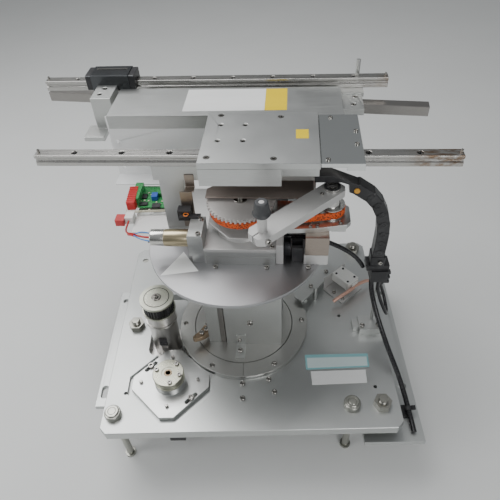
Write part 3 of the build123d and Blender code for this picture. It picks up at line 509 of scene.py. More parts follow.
@dataclass(frozen=True)
class Jacket(Finish):
    """Extruded cable jacket: smooth and glossy, with faint draw marks and dust."""

    gloss: float = 0.28

    def draw(self, chart: Chart) -> None:
        """Draw marks are a fine noise in the gloss; dust lifts the tone slightly."""
        fine = chart.noise((600.0, 600.0, 90.0), detail=3.0)
        chart.set(Base_Color=chart.blend(chart.spread(fine, 0, 1, 0.5, 0.8), self.colour,
                                         self.dusty(0.03)),
                  Roughness=chart.spread(fine, self.gloss - 0.06, self.gloss + 0.1))
        chart.bump(fine, 0.2, 0.02)


@dataclass(frozen=True)
class Board(Finish):
    """Circuit board: green lacquer over copper tracks, which show as lighter lines."""

    def draw(self, chart: Chart) -> None:
        """Tracks are the mortar of a fine brick pattern."""
        brick = chart.node("ShaderNodeTexBrick", {
            "Scale": 260.0, "Mortar Size": 0.05, "Color1": (*self.colour, 1.0),
            "Color2": (*self.shade(0.8), 1.0), "Mortar": (*self.shade(1.9), 1.0),
            "Vector": chart.place})
        chart.set(Base_Color=brick.outputs["Color"],
                  Roughness=chart.spread(chart.noise((300.0,) * 3), 0.18, 0.34))
        chart.bump(brick.outputs["Fac"], 0.3, 0.03)


@dataclass(frozen=True)
class Turned(Metal):
    """Metal faced on a lathe: its marks are rings round an upright axis."""

    axis: tuple[float, float] = (0.0, 0.0)
    rings: float = 900.0

    def draw(self, chart: Chart) -> None:
        """The gloss and a low bump follow a noise of the distance from the axis."""
        x, y = self.axis
        away = chart.node("ShaderNodeVectorMath", {0: chart.place, 1: (x * MM, y * MM, 0.0)},
                          operation="SUBTRACT").outputs["Vector"]
        flat = chart.node("ShaderNodeVectorMath", {0: away, 1: (1.0, 1.0, 0.0)},
                          operation="MULTIPLY").outputs["Vector"]
        reach = chart.node("ShaderNodeVectorMath", {0: flat}, operation="LENGTH").outputs["Value"]
        marks = chart.node("ShaderNodeTexNoise", noise_dimensions="1D")
        chart.fill(marks, {"Scale": self.rings, "Detail": 4.0, "W": reach})
        cloud = chart.noise((22.0, 22.0, 22.0), detail=5.0, rough=0.6)
        chart.set(Base_Color=chart.blend(chart.spread(cloud, 0.0, 1.0),
                                         self.shade(1.0 - self.cloud),
                                         self.shade(1.0 + self.cloud * 0.4)),
                  Roughness=chart.spread(marks.outputs["Fac"], self.gloss - self.spread,
                                         self.gloss + self.spread),
                  Metallic=self.metallic)
        chart.bump(marks.outputs["Fac"], 0.35, self.depth)


@dataclass(frozen=True)
class StainedRail(Metal):
    """Ground rail steel with brown grease stains towards its right end."""

    stain: Colour = (0.20, 0.10, 0.035)
    starts: float = 0.205

    def draw(self, chart: Chart) -> None:
        """The stain is a noise, let in where x passes its start."""
        super().draw(chart)
        clean = chart.shader.inputs["Base Color"].links[0].from_socket
        across = chart.node("ShaderNodeSeparateXYZ", {0: chart.place}).outputs["X"]
        near = chart.spread(across, 0.0, 1.0, self.starts, self.starts + 0.03)
        blots = chart.spread(chart.noise((70.0, 260.0, 120.0), detail=5.0, rough=0.7), 0.0, 0.8,
                             0.42, 0.60)
        stained = chart.node("ShaderNodeMix", {0: chart.maths("MULTIPLY", near, blots), 6: clean,
                                               7: (*self.stain, 1.0)}, data_type="RGBA")
        chart.set(Base_Color=stained.outputs[2])


X_GRAIN, Y_GRAIN, Z_GRAIN = ({"grain": g} for g in (Grain.ALONG_X, Grain.ALONG_Y, Grain.ALONG_Z))
BRIGHT, ZINC, BLACK = ({"slot": s} for s in ("bright_steel", "zinc_screw", "black_plastic"))

CLEAR_ALUMINIUM = Metal("clear anodised aluminium", (0.60, 0.61, 0.595), 0.40, 0.05)
PLATE_ALUMINIUM = Metal("base plate aluminium", (0.56, 0.575, 0.565), 0.42, 0.05, 0.008, 0.05)
SOFT_ALUMINIUM = Metal("soft anodised aluminium", (0.60, 0.595, 0.585), 0.42, 0.05, 0.008, 0.06,
                       0.55)
MILLED_ALUMINIUM = Metal("milled aluminium", (0.60, 0.61, 0.60), 0.34, 0.08, **X_GRAIN)
DECK_ALUMINIUM = Metal("faced deck aluminium", (0.60, 0.61, 0.60), 0.36, 0.05, 0.008, 0.05)
DISC_ALUMINIUM = Metal("faced aluminium", (0.41, 0.41, 0.42), 0.42, 0.05, 0.006, 0.05)
COVER_ALUMINIUM = Metal("brushed cover", (0.52, 0.53, 0.52), 0.42, 0.07, **X_GRAIN)
RING_ALUMINIUM = Turned("turned ring aluminium", (0.54, 0.54, 0.52), 0.36, 0.07)
PULLEY_ALUMINIUM = Turned("turned pulley", (0.55, 0.56, 0.48), 0.34, 0.08, axis=TOWER)
TOWER_CAN = Metal("bright tower can", (0.58, 0.565, 0.545), 0.33, 0.06, 0.006, **Z_GRAIN)
KNOB_STEEL = Metal("turned knob steel", (0.44, 0.44, 0.40), 0.34, 0.06, 0.008, 0.10, **BRIGHT)
BAR_STEEL = Metal("drawn square bar", (0.34, 0.325, 0.31), 0.34, 0.06, 0.006, **X_GRAIN, **BRIGHT)
BLOCK_STEEL = Metal("black rail block", (0.10, 0.105, 0.11), 0.30, 0.06, 0.006)
WHEEL_STEEL = Turned("satin wheel steel", (0.62, 0.59, 0.57), 0.44, 0.07, 0.01, 0.12, 0.45,
                     axis=tuple(map(float, turned([WHEEL])[0, :2])), **BRIGHT)
BOSS_ALUMINIUM = Turned("turned boss", (0.50, 0.50, 0.41), 0.34, 0.08, 0.012, 0.14, axis=HUB,
                        slot="satin_aluminium")
POLISHED_STEEL = Metal("polished steel", (0.62, 0.61, 0.59), 0.22, 0.05, 0.004, **Z_GRAIN)
CAN_STEEL = Metal("drawn motor can", (0.66, 0.65, 0.62), 0.22, 0.05, 0.006, **X_GRAIN)
RAIL_STEEL = StainedRail("ground rail steel", (0.50, 0.49, 0.47), 0.28, 0.05, 0.005, 0.06,
                         **X_GRAIN)
BRIGHT_ZINC = Metal("dull zinc nuts", (0.36, 0.355, 0.32), 0.32, 0.07, 0.006, **ZINC)
SCREW_STEEL = Metal("stainless screws", (0.37, 0.36, 0.34), 0.22, 0.06, 0.006, **ZINC)
DARK_STAINLESS = Metal("dark brushed stainless", (0.27, 0.225, 0.20), 0.45, 0.09, 0.01, 0.12, 0.6,
                       **X_GRAIN)
STAINLESS_SHEET = Metal("stainless sheet", (0.36, 0.31, 0.27), 0.32, 0.08, **X_GRAIN)
BLACK_OXIDE = Metal("black oxide steel", (0.045, 0.045, 0.048), 0.34, 0.08, slot="black_steel")
MIRROR = Metal("mirror polish", (0.74, 0.76, 0.75), 0.10, 0.03, 0.001, 0.03)
YELLOW_PASSIVATE = Metal("yellow passivated steel", (0.50, 0.43, 0.29), 0.30, 0.08, **X_GRAIN)
BRONZE = Metal("machined bronze", (0.34, 0.26, 0.18), 0.32, 0.08, **Y_GRAIN, **BRIGHT)
COPPER = Metal("copper sleeve", (0.70, 0.42, 0.33), 0.42, 0.08, 0.01, 0.18, 0.45, **BRIGHT)
WHITE_PAINT = Paint("white sheet paint", (0.86, 0.87, 0.87))
MOTOR_BLACK = Paint("black motor paint", (0.02, 0.02, 0.022), 0.28)
LABEL_WHITE = Paint("white label film", (0.82, 0.83, 0.82), 0.34, 500.0)
LABEL_TEAL = Paint("teal label film", (0.25, 0.52, 0.55), 0.34, 500.0)
LABEL_PALE = Paint("pale label film", (0.62, 0.74, 0.74), 0.34, 500.0)
LABEL_YELLOW = Paint("yellow label film", (0.82, 0.60, 0.0), 0.38, 500.0)
WHITE_PLASTIC = Plastic("white moulded plastic", (0.78, 0.78, 0.75), 0.34, slot="white_plastic")
CREAM_PLASTIC = Plastic("cream board edge", (0.72, 0.68, 0.52), 0.40, slot="white_plastic")
BLACK_PLASTIC = Plastic("black moulded plastic", (0.018, 0.018, 0.02), 0.40, **BLACK)
GREY_RUBBER = Plastic("dark grey rubber", (0.045, 0.047, 0.05), 0.50)
RED_PLASTIC = Plastic("red moulded plastic", (0.50, 0.02, 0.02), 0.34)
BLUE_PLASTIC = Plastic("blue moulded plastic", (0.02, 0.10, 0.45), 0.34)
AMBER_PLASTIC = Plastic("amber plug", (0.72, 0.36, 0.04), 0.38, **BLACK)
BLACK_BELT = Rubber("black belt rubber", (0.02, 0.02, 0.02), (0.05, 0.05, 0.05))
ORANGE_BELT = Rubber("orange belt", (0.78, 0.11, 0.012), (0.06, 0.015, 0.008), 0.56)
BLACK_JACKET = Jacket("black cable jacket", (0.012, 0.012, 0.014), slot="black_cable")
RED_JACKET = Jacket("red wire jacket", (0.50, 0.02, 0.02))
BLUE_JACKET = Jacket("blue wire jacket", (0.03, 0.22, 0.62))
ORANGE_JACKET = Jacket("orange wire jacket", (0.72, 0.20, 0.03))
GREEN_BOARD = Board("green circuit board", (0.03, 0.20, 0.06))

DRESS: dict[Finish, tuple[str, ...]] = {
    PLATE_ALUMINIUM: ("base_plate", "left_foot_plate", "right_foot_plate"),
    MILLED_ALUMINIUM: ("idler_plate", "gear_block", "motor_mount_plate", "drive_block"),
    SOFT_ALUMINIUM: ("lever_arm", "housing_lid", "board_tray", "sensor_bracket", "side_plate"),
    CLEAR_ALUMINIUM: ("stop_sector", "cable_post", "column_plates", "drive_housing",
                      "rail_frame", "end_block", "hook_bracket"),
    DECK_ALUMINIUM: ("carriage_plate",),
    DISC_ALUMINIUM: ("turntable_disc",),
    RING_ALUMINIUM: ("ring_flange_halves", "bearing_housing", "rotor"),
    PULLEY_ALUMINIUM: ("tower_pulley",),
    TOWER_CAN: ("tower_motor",),
    KNOB_STEEL: ("bench_legs",),
    BAR_STEEL: ("cross_bar",),
    BLOCK_STEEL: ("carriage_block", "rear_block"),
    WHEEL_STEEL: ("drive_pulley",),
    POLISHED_STEEL: ("motor_hub", "lever_pulley"),
    CAN_STEEL: ("gearmotor_can",),
    RAIL_STEEL: ("front_rail", "rear_rail"),
    BRIGHT_ZINC: ("levelling_screws",),
    DARK_STAINLESS: ("deck_plate",),
    STAINLESS_SHEET: ("sheet_brackets",),
    SCREW_STEEL: ("base_screws",),
    BLACK_OXIDE: ("encoder_disc",),
    MIRROR: ("mirror_plate",),
    YELLOW_PASSIVATE: ("gearhead",),
    BRONZE: ("origin_dog",),
    COVER_ALUMINIUM: ("box_cover",),
    WHITE_PAINT: ("side_panel",),
    MOTOR_BLACK: ("theta_motor",),
    WHITE_PLASTIC: ("limit_sensor", "lead_plugs"),
    BLACK_PLASTIC: ("cable_clips", "photo_sensors", "cable_chain"),
    GREY_RUBBER: ("roller",),
    BLACK_BELT: ("theta_belt",),
    ORANGE_BELT: ("drive_belt",),
    BLACK_JACKET: ("motor_leads", "bracket_cable", "main_cable", "loop_cable"),
    GREEN_BOARD: ("circuit_board",),
}


class SolidDressing:
    """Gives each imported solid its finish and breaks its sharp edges."""

    soft_nodes = ("motor_leads", "bracket_cable", "main_cable", "loop_cable", "cable_chain")
    edge_break = 0.45
    weld_reach = 1e-6

    def dress(self) -> None:
        """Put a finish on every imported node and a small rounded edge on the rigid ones."""
        for finish, names in DRESS.items():
            for name in names:
                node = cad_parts[name]
                material = finish.material()
                if node.material_slots:
                    for held in node.material_slots:
                        held.material = material
                else:
                    node.data.materials.append(material)
                if name not in self.soft_nodes:
                    self.break_edges(node)
                LOG.info("dressed %s", name)

    def break_edges(self, node: bpy.types.Object) -> None:
        """Weld the loose triangles while rendering, and round the edges between faces."""
        weld = node.modifiers.new("weld", "WELD")
        weld.merge_threshold = self.weld_reach
        round_edges(node, self.edge_break, 50.0).use_clamp_overlap = True


# ---- cables
@dataclass
class Route:
    """A cable's control points, and how thick it is."""

    name: str
    points: np.ndarray
    diameter: float

    def spline(self, bevel: bool) -> bpy.types.Object:
        """Make a smooth curve object through the control points' hull.

        Args:
            bevel: whether the curve carries its round section.

        Returns:
            The curve object, in metres.
        """
        data = bpy.data.curves.new(self.name, "CURVE")
        data.dimensions = "3D"
        data.resolution_u = 24
        line = data.splines.new("NURBS")
        line.points.add(len(self.points) - 1)
        for held, p in zip(line.points, self.points):
            held.co = (p[0] * MM, p[1] * MM, p[2] * MM, 1.0)
        line.use_endpoint_u = True
        line.order_u = 3
        line.use_smooth = True
        if bevel:
            data.bevel_depth = self.diameter / 2 * MM
            data.bevel_resolution = 6
            data.use_fill_caps = True
        return placed(self.name, data)

    def line(self) -> np.ndarray:
        """Read the points that the smooth curve passes, in millimetres."""
        obj = self.spline(False)
        bpy.context.view_layer.update()
        mesh = bpy.data.meshes.new_from_object(obj)
        flat = np.zeros(len(mesh.vertices) * 3)
        mesh.vertices.foreach_get("co", flat)
        bpy.data.objects.remove(obj)
        bpy.data.meshes.remove(mesh)
        return flat.reshape(-1, 3) / MM


def length_of(line: np.ndarray) -> float:
    """Add up the steps of a line."""
    return float(np.linalg.norm(np.diff(line, axis=0), axis=1).sum())


@dataclass
class Cables:
    """The robot's four cables, each along the same route as its solid."""

    main: Route = field(default_factory=lambda: Route("main_cable_run", np.array([
        (189.0, -6.0, 112.0), (189.0, -6.0, 100.0), (191.0, -13.0, 82.0), (197.0, -27.0, 60.0),
        (205.0, -47.0, 38.5), (213.5, -71.5, 20.5), (222.5, -97.5, 5.5), (229.0, -120.0, -9.0),
        (232.5, -140.0, -19.5), (234.5, -157.0, -25.5), (235.0, -172.0, -27.5)]), 7.2))
    loop: Route = field(default_factory=lambda: Route("loop_cable_run", np.array([
        (197.0, -14.5, 112.0), (197.0, -14.5, 99.0), (200.0, -19.0, 84.0), (206.0, -24.0, 68.0),
        (212.5, -25.5, 53.0), (217.0, -20.5, 42.5), (219.5, -10.0, 37.5), (219.8, 1.5, 39.5),
        (218.0, 10.0, 48.0), (214.0, 14.0, 60.5), (209.0, 12.5, 75.0), (205.0, 6.5, 90.0),
        (203.5, 1.8, 101.0), (203.5, 1.8, 112.0)]), 5.0))
    bracket: Route = field(default_factory=lambda: Route("bracket_cable_run", turned([
        (64.0, -8.5, 201.0), (80.0, -9.0, 201.0), (98.0, -13.0, 203.0), (116.0, -15.0, 199.5),
        (132.0, -14.0, 190.5), (146.0, -10.0, 178.0), (158.0, -5.0, 163.5), (167.0, 0.5, 148.0),
        (173.5, 5.0, 133.0)]), 6.0))
    leads: Route = field(default_factory=lambda: Route("motor_lead_run", turned([
        (-103.0, -36.0, 221.0), (-112.0, -36.0, 221.0), (-123.0, -33.0, 221.5),
        (-134.0, -26.0, 217.0), (-143.0, -14.0, 209.0), (-149.0, 0.0, 201.0),
        (-152.5, 14.0, 194.5), (-153.5, 26.7, 193.0)]), 2.6))

    def build(self) -> None:
        """Make the four cables and hide the solid each one stands for."""
        self.fixed(self.main, "main_cable", "base")
        self.fixed(self.loop, "loop_cable", "base")
        self.fixed(self.leads, "motor_leads", "turntable", RED_JACKET)
        self.hanging(self.bracket, "bracket_cable")

    def fixed(self, route: Route, node: str, body: str,
              finish: Finish = BLACK_JACKET) -> None:
        """Make a cable that rides on one body and stands for its solid."""
        reach = length_of(route.line())
        obj = route.spline(True)
        obj.data.materials.append(finish.material())
        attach(obj, body)
        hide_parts(node)
        LOG.info("laid %s, %.0f mm", route.name, reach)

    def hanging(self, route: Route, node: str) -> None:
        """Make the cable that bends between the turntable and the post."""
        line = route.line()
        obj = Piece.make(route.name, tube(line, route.diameter / 2, 16), BLACK_JACKET)
        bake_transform(obj)
        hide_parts(node)


# ---- cable chain
@dataclass
class CableChain:
    """Moulded links hinged on pins, from the beam's black arm down to the clamp on the post."""

    centres: tuple[tuple[float, float], ...] = (
        (152.0, 271.0), (169.0, 259.0), (179.0, 247.0), (186.0, 232.0), (190.0, 216.0),
        (191.5, 199.5), (191.5, 183.0), (191.0, 167.0), (190.5, 152.0))
    middle_y: float = 7.0
    width: float = 18.0
    tall: float = 16.0

    def link(self, a: np.ndarray, b: np.ndarray) -> Surface:
        """Build one link between two hinge points, as an outline carried across its width."""
        step = b - a
        reach = float(np.linalg.norm(step))
        along, up = step / reach, np.array([-step[1], step[0]]) / reach
        half = self.tall / 2
        shape = [(-3.6, -half * 0.80), (-1.8, -half), (reach - 1.6, -half),
                 (reach + 0.6, -half * 0.62), (reach + 1.2, 0.0), (reach + 0.6, half * 0.62),
                 (reach - 1.6, half), (-1.8, half), (-3.6, half * 0.80)]
        rows = []
        for offset, inset in ((-self.width / 2, 0.8), (-self.width / 2 + 0.8, 0.0),
                              (self.width / 2 - 0.8, 0.0), (self.width / 2, 0.8)):
            for s, h in shape:
                p = a + along * (s + (inset if s < 0 else -inset if s > reach - 2 else 0)) \
                    + up * (h - math.copysign(inset, h) if h else h)
                rows.append((p[0], self.middle_y + offset, p[1]))
        return Surface(np.array(rows), [face[::-1] for face in capped(4, len(shape))])

    def pin(self, at: np.ndarray, side: int) -> Surface:
        """Build the round boss of a hinge on one side of the chain."""
        boss = lathe([(0.01, 0), (4.4, 0), (4.4, 0.5), (3.6, 0.9), (2.2, 0.9), (1.9, 0.5),
                      (0.01, 0.5)], 20)
        y = self.middle_y + side * (self.width / 2 - 0.1)
        return boss.along((0, side, 0)).moved((at[0], y, at[1]))

    def build(self) -> None:
        """Make the links, bosses and both ends, bake them in place and hide the chain's solid."""
        line = np.array(self.centres)
        parts = [self.link(a, b) for a, b in zip(line, line[1:])]
        parts += [self.pin(p, side) for p in line[1:-1] for side in (-1, 1)]
        chain = Piece.turning("chain_links", joined(parts), BLACK_PLASTIC, None, smooth=28)
        arm = [(100.0, 281.5), (132.0, 281.5), (141.5, 278.0), (142.0, 267.0), (154.0, 262.0),
               (160.0, 274.5), (120.0, 291.5), (100.0, 291.5)]
        flat = prism(arm, -self.width / 2 + 0.3, self.width / 2 - 0.3)
        x, z, y = flat.points.T
        upright = Surface(np.column_stack([x, self.middle_y - y, z]), flat.faces)
        shoe = slab(181.0, 201.0, self.middle_y - 10, self.middle_y + 10, 142.4, 158.0, 2.0)
        ends = Piece.turning("chain_ends", joined([upright, shoe]), BLACK_PLASTIC, None, bevel=0.6)
        plug = lathe([(0.01, 0), (3.6, 0), (3.6, 1.2), (2.9, 1.8), (0.01, 1.9)], 24)
        side = self.middle_y - self.width / 2 + 0.2
        amber = Piece.turning("amber_plug", plug.along((0, -1, 0)).moved((151.0, side, 270.0)),
                              AMBER_PLASTIC, None)
        screw = socket_screw(3.2, 3.0).along((0, -1, 0)).moved((194.0, self.middle_y - 10.0, 150.0))
        Piece.turning("chain_shoe_screw", screw, SCREW_STEEL, "base")
        low = turned([(190.5, self.middle_y, 158.0)])[0] * MM
        high = turned([(152.0, self.middle_y, 271.0)])[0] * MM
        for obj in (chain, ends, amber):
            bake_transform(obj)
        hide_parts("cable_chain")


# ---- screws and pins
@dataclass(frozen=True)
class Screw:
    """A socket screw: the middle of its seat, its head's radius and height, and where it faces."""

    x: float
    y: float
    z: float
    r: float = 3.4
    tall: float = 3.4
    facing: Point = UPWARDS

    def surface(self) -> Surface:
        """Give the head standing on its seat."""
        head = socket_screw(self.r, self.tall)
        if self.facing != UPWARDS:
            head = head.along(self.facing)
        return head.moved((self.x, self.y, self.z))


def screws(name: str, body: str, rows: Iterable[tuple], finish: Finish = SCREW_STEEL,
           turns: bool = True) -> bpy.types.Object:
    """Join screws, each given by the numbers of a Screw, into one piece on its body."""
    made = joined(Screw(*row).surface() for row in rows)
    return (Piece.turning if turns else Piece.make)(name, made, finish, body)


@dataclass
class Fasteners:
    """Screws of the turntable, carriages, lever and base, in the holes and seats of the solids."""

    front: Point = (0.0, -1.0, 0.0)
    lever_side: Point = (0.6935, -0.7205, 0.0)
    rail_starts: tuple[tuple[float, float], ...] = ((-247.0, 24.3), (-308.0, 228.0))
    first_hole: float = 50.0
    rail_holes: int = 8
    rail_pitch: float = 60.0
    rail_seat: float = 301.7
    ring_r: float = 91.75
    wheel_teeth: int = 46

    def turntable(self) -> None:
        """Set the bright screws that turn with the turntable, and the dark ones in the rails."""
        screws("turntable_screws", "turntable", [
            (15.4, -42.0, 60.5, 4.4, 4.0, self.front), (-2.0, -45.0, 21.5, 3.0, 2.8, self.front),
            (0.0, -58.0, 11.0, 3.6, 3.4), (-59.0, -41.0, 29.0, 3.7, 3.4),
            (-52.8, -34.0, 29.0, 3.7, 3.4), (-53.2, -25.0, 29.0, 3.2, 3.0),
            (-22.0, -53.5, 187.0, 3.3, 2.8), (43.0, -53.5, 187.0, 3.3, 2.8),
            (95.0, -52.0, 187.0, 3.3, 2.8), (-41.1, -14.0, 233.0, 3.2, 2.6),
            (-41.5, -42.0, 233.0, 3.2, 2.6), (49.8, -43.0, 213.0, 2.8, 2.4),
            (96.0, -31.6, 239.0, 2.4, 2.0), (104.2, -31.6, 239.0, 2.4, 2.0),
            (132.0, -24.6, 239.0, 2.4, 2.0), (163.0, 197.0, 286.0, 3.7, 3.8),
            (159.0, 174.0, 286.0, 3.7, 3.8)])
        screws("rail_screws", "turntable", [
            (start + self.first_hole + self.rail_pitch * i, y, self.rail_seat, 3.45, 3.3)
            for start, y in self.rail_starts for i in range(self.rail_holes)], BLACK_OXIDE)

    def base(self) -> None:
        """Set the screws of the base plate and its fittings."""
        screws("base_fitting_screws", "base", [
            (162.9, 45.8, 2.0, 3.0, 2.6), (151.0, 59.9, 2.0, 3.0, 2.6),
            (111.4, 60.0, 19.0, 3.6, 3.0), (140.2, 91.9, 19.0, 3.6, 3.0)], turns=False)
        rows = [(x, y, 0.0, 3.7, 3.6)
                for x, y in ((-1.0, -108.0), (-1.0, -131.0), (37.0, -102.0), (44.5, -122.5))]
        rows += [(183.5, -20.0, 14.0, 3.7, 3.6), (208.0, -19.0, 14.0, 3.7, 3.6)]
        rows += [(*at, 4.4, 3.6, 3.8) for at in around(0.0, 0.0, self.ring_r, *range(0, 360, 60))]
        rows += [(*at, 3.0, 4.4, 4.0) for at in around(*HUB, 42.0, -40.0, 140.0)]
        heads = screws("base_plate_screws", "base", rows, turns=False)
        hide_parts("base_screws")

    def beam(self) -> None:
        """Set the screws of the rail stops, carriages, hook and lever."""
        stops = ((-243.0, 24.3), (270.2, 24.3), (-304.0, 228.0), (208.0, 228.0))
        screws("rail_stop_screws", "turntable", [(*at, 307.0, 1.6, 4.5) for at in stops])
        mirror = ((118.6, 66.0), (146.6, 34.6), (145.7, 6.6), (111.8, -24.8))
        screws("mirror_screws", "front_carriage", [(*at, 329.5, 2.8, 1.6) for at in mirror])
        screws("carriage_screws", "front_carriage",
               [(x, y, 323.6, 3.1, 3.6) for x in (-15.0, 15.0) for y in (17.0, 53.0)])
        flats = ((-17.0, 76.0), (58.0, 72.0), (-24.0, -18.0), (52.0, -20.0))
        Piece.turning("carriage_flat_screws",
                      joined(countersunk_screw(4.0).moved((x, y, 328.0)) for x, y in flats),
                      SCREW_STEEL, "front_carriage")
        screws("hook_screws", "rear_carriage",
               [(-208.0, 200.0, 301.0, 3.7, 3.6), (-211.0, 182.0, 301.0, 3.7, 3.6)])
        screws("lever_screws", "lever", [(108.5, -17.0, 276.0, 2.3, 1.8),
                                         (47.5, -94.5, 271.0, 3.3, 2.8, self.lever_side)])

    def wheel(self) -> None:
        """Seal the lever's bearing, and give the drive wheel its fine rim and its screw."""
        seal = ring([(7.3, 278.9), (9.6, 278.9), (9.6, 279.5), (7.3, 279.5)], 40)
        Piece.turning("lever_bearing_seal", seal.moved((121.0, -5.0, 0.0)), BLACK_PLASTIC, "lever")
        half = math.pi / self.wheel_teeth
        tooth = ((40.0, -0.62), (42.6, -0.34), (42.6, 0.34), (40.0, 0.62))
        corners = [(r, share * half + 2 * half * i)
                   for i in range(self.wheel_teeth) for r, share in tooth]
        rim = prism([(r * math.cos(a), r * math.sin(a)) for r, a in corners], 251.9, 256.0)
        Piece.turning("wheel_rim", rim.moved(WHEEL), WHEEL_STEEL, "drive_wheel")
        washer = lathe([(0.01, 0), (8.4, 0), (8.4, 1.2), (7.8, 1.6), (0.01, 1.6)], 40)
        screw = joined([washer, socket_screw(4.2, 3.4).moved((0, 0, 1.6))])
        Piece.turning("wheel_screw", screw.moved((*WHEEL[:2], 256.0)), SCREW_STEEL, "drive_wheel")

    def build(self) -> None:
        """Make every group of screws."""
        self.turntable()
        self.base()
        self.beam()
        self.wheel()


# ---- fittings on the base plate
@dataclass
class BaseFittings:
    """Tall motor boss, pins, knob caps, stud threads, tower pulley trim and the sensor's tubes."""

    studs: tuple[tuple[float, float], ...] = ((192.5, -145.0), (-172.0, 2.0), (195.5, 160.5))
    thread_turns: int = 4
    thread_pitch: float = 1.45
    knobs: tuple[tuple[float, float], ...] = ((-181.0, -151.5), (151.0, -145.0))
    pins: tuple[tuple[float, float], ...] = ((-149.0, -103.0), (-107.0, -142.0), (-66.0, -101.0),
                                             (-107.0, -62.0))
    sensor: Point = (169.6, 72.3, 0.0)
    sensor_turn: float = 40.0

    def boss(self) -> None:
        """Raise the motor's boss to its full height, with a stepped bore and four rim screws."""
        foot = (*HUB, 0.0)
        rows = [(6.0, 14.0), (22.0, 14.0), (22.0, 15.0), (20.8, 15.6), (20.8, 24.0), (22.2, 24.6),
                (22.2, 27.2), (21.4, 28.0), (9.6, 28.0), (9.2, 27.6), (9.2, 27.2), (6.0, 27.2)]
        Piece.make("motor_boss", ring(rows, 64).moved(foot), BOSS_ALUMINIUM, "base")
        rim = around(*HUB, 17.4, 50.0, 165.0, -75.0, -15.0)
        screws("boss_screws", "base", [(*at, 28.0, 3.1, 3.0) for at in rim], turns=False)
        shaft = [(3.4, 13.2), (5.7, 13.2), (5.7, 27.4), (5.2, 27.9), (3.9, 27.9), (3.4, 27.4)]
        Piece.make("hub_collar", ring(shaft, 40).moved(foot), BRONZE, "motor_hub")

    def small(self) -> None:
        """Set the pins, the knobs' stepped caps and the threads of the studs."""
        pin = lathe([(0.01, 0), (2.5, 0), (2.5, 3.4), (1.9, 4.2), (0.01, 4.3)], 20)
        cap = lathe([(0.01, 9.0), (9.6, 9.0), (9.6, 9.5), (8.8, 10.0), (8.8, 11.2), (8.2, 11.8),
                     (6.2, 11.8), (5.8, 11.2), (5.4, 11.2), (4.8, 11.8), (0.01, 12.0)], 40)
        rows = [(0.01, 10.0)]
        for turn in range(self.thread_turns):
            z = 10.2 + self.thread_pitch * turn
            rows += [(6.05, z), (6.55, z + 0.5), (6.55, z + 0.7), (6.05, z + 1.3)]
        thread = lathe(rows + [(5.6, 16.6), (0.01, 16.7)], 32)
        for name, one, places, z, finish in (
                ("mount_pins", pin, self.pins, 3.0, SCREW_STEEL),
                ("knob_caps", cap, self.knobs, 0.0, KNOB_STEEL),
                ("stud_threads", thread, self.studs, 0.0, BRIGHT_ZINC)):
            Piece.make(name, joined(one.moved((*at, z)) for at in places), finish, "base")

    def column(self) -> None:
        """Fill the column's front gap to a thin line, and set the dog on its left side."""
        strip = slab(-31.0, -23.8, -39.6, -34.0, 8.1, 181.9)
        Piece.turning("column_strip", strip, BAR_STEEL, bevel=0.4)
        outline = [(-49.0, -41.0), (-49.2, -24.2), (-57.0, -24.2), (-60.0, -30.0), (-63.5, -37.0),
                   (-68.5, -42.5), (-72.0, -47.0), (-71.5, -51.0), (-68.0, -52.0), (-61.0, -49.5),
                   (-54.0, -46.0)]
        dog = Piece.turning("dog_bar", prism(outline[::-1], 21.0, 29.0), BRONZE, slot="bronze_dog",
                            bevel=0.7)
        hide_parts("origin_dog")

    def tower_trim(self) -> None:
        """Dress the tower pulley with black teeth in its belt groove, whose black is partly painted
        shade of the groove, a thin black rim ring that is painted shade of the cap's ring groove,
        and a centre screw.
        """
        # Black teeth between the flanges: their black is partly painted shade of the groove.
        shaded_tooth_lining = ring([(21.2, 77.2), (22.6, 77.2), (22.6, 94.8), (21.2, 94.8)], 64, ribbed)
        # Thin black ring on the cap: painted shade of its ring groove.
        face = ring([(17.6, 98.9), (18.6, 98.9), (18.6, 99.25), (17.6, 99.25)], 56)
        hub = joined([lathe([(0.01, 99.0), (7.0, 99.0), (7.0, 100.0), (6.4, 100.6), (0.01, 100.6)],
                            40), socket_screw(3.2, 2.6).moved((0, 0, 100.6))])
        nub = lathe([(0.01, 0), (2.0, 0), (2.0, 1.0), (0.01, 1.1)], 16).along((0, -1, 0))
        socket = joined([slab(-6.0, 6.0, -23.0, -19.5, 13.0, 27.0, 1.2)]
                        + [nub.moved((side * 3.2, -23.0, 20.0)) for side in (-1, 1)])
        for name, made, finish, body in (
                ("tower_pulley_shaded_teeth", shaded_tooth_lining, BLACK_OXIDE, "tower_pulley"),
                ("tower_pulley_groove_shade_ring", face, BLACK_OXIDE, "tower_pulley"),
                ("tower_pulley_hub", hub, SCREW_STEEL, "tower_pulley"),
                ("tower_connector", socket, BLACK_PLASTIC, "base")):
            Piece.make(name, made.moved((*TOWER, 0.0)), finish, body)

    def tubes(self) -> None:
        """Lay the sensor's two formed copper tubes in front of its housing."""
        for name, points in (
                ("sensor_tube_left", [(181.0, 53.0, 21.0), (172.0, 45.0, 21.5), (162.0, 38.5, 20.5),
                                      (152.0, 33.0, 18.5), (145.0, 29.5, 15.0)]),
                ("sensor_tube_right", [(181.0, 55.0, 21.0), (190.0, 60.0, 21.5),
                                       (198.0, 65.5, 20.0), (204.0, 70.0, 17.5),
                                       (208.0, 73.0, 14.5)])):
            line = Route(name, np.array(points), 4.4).line()
            Piece.make(name, tube(line, 2.8, 16), COPPER, "base")

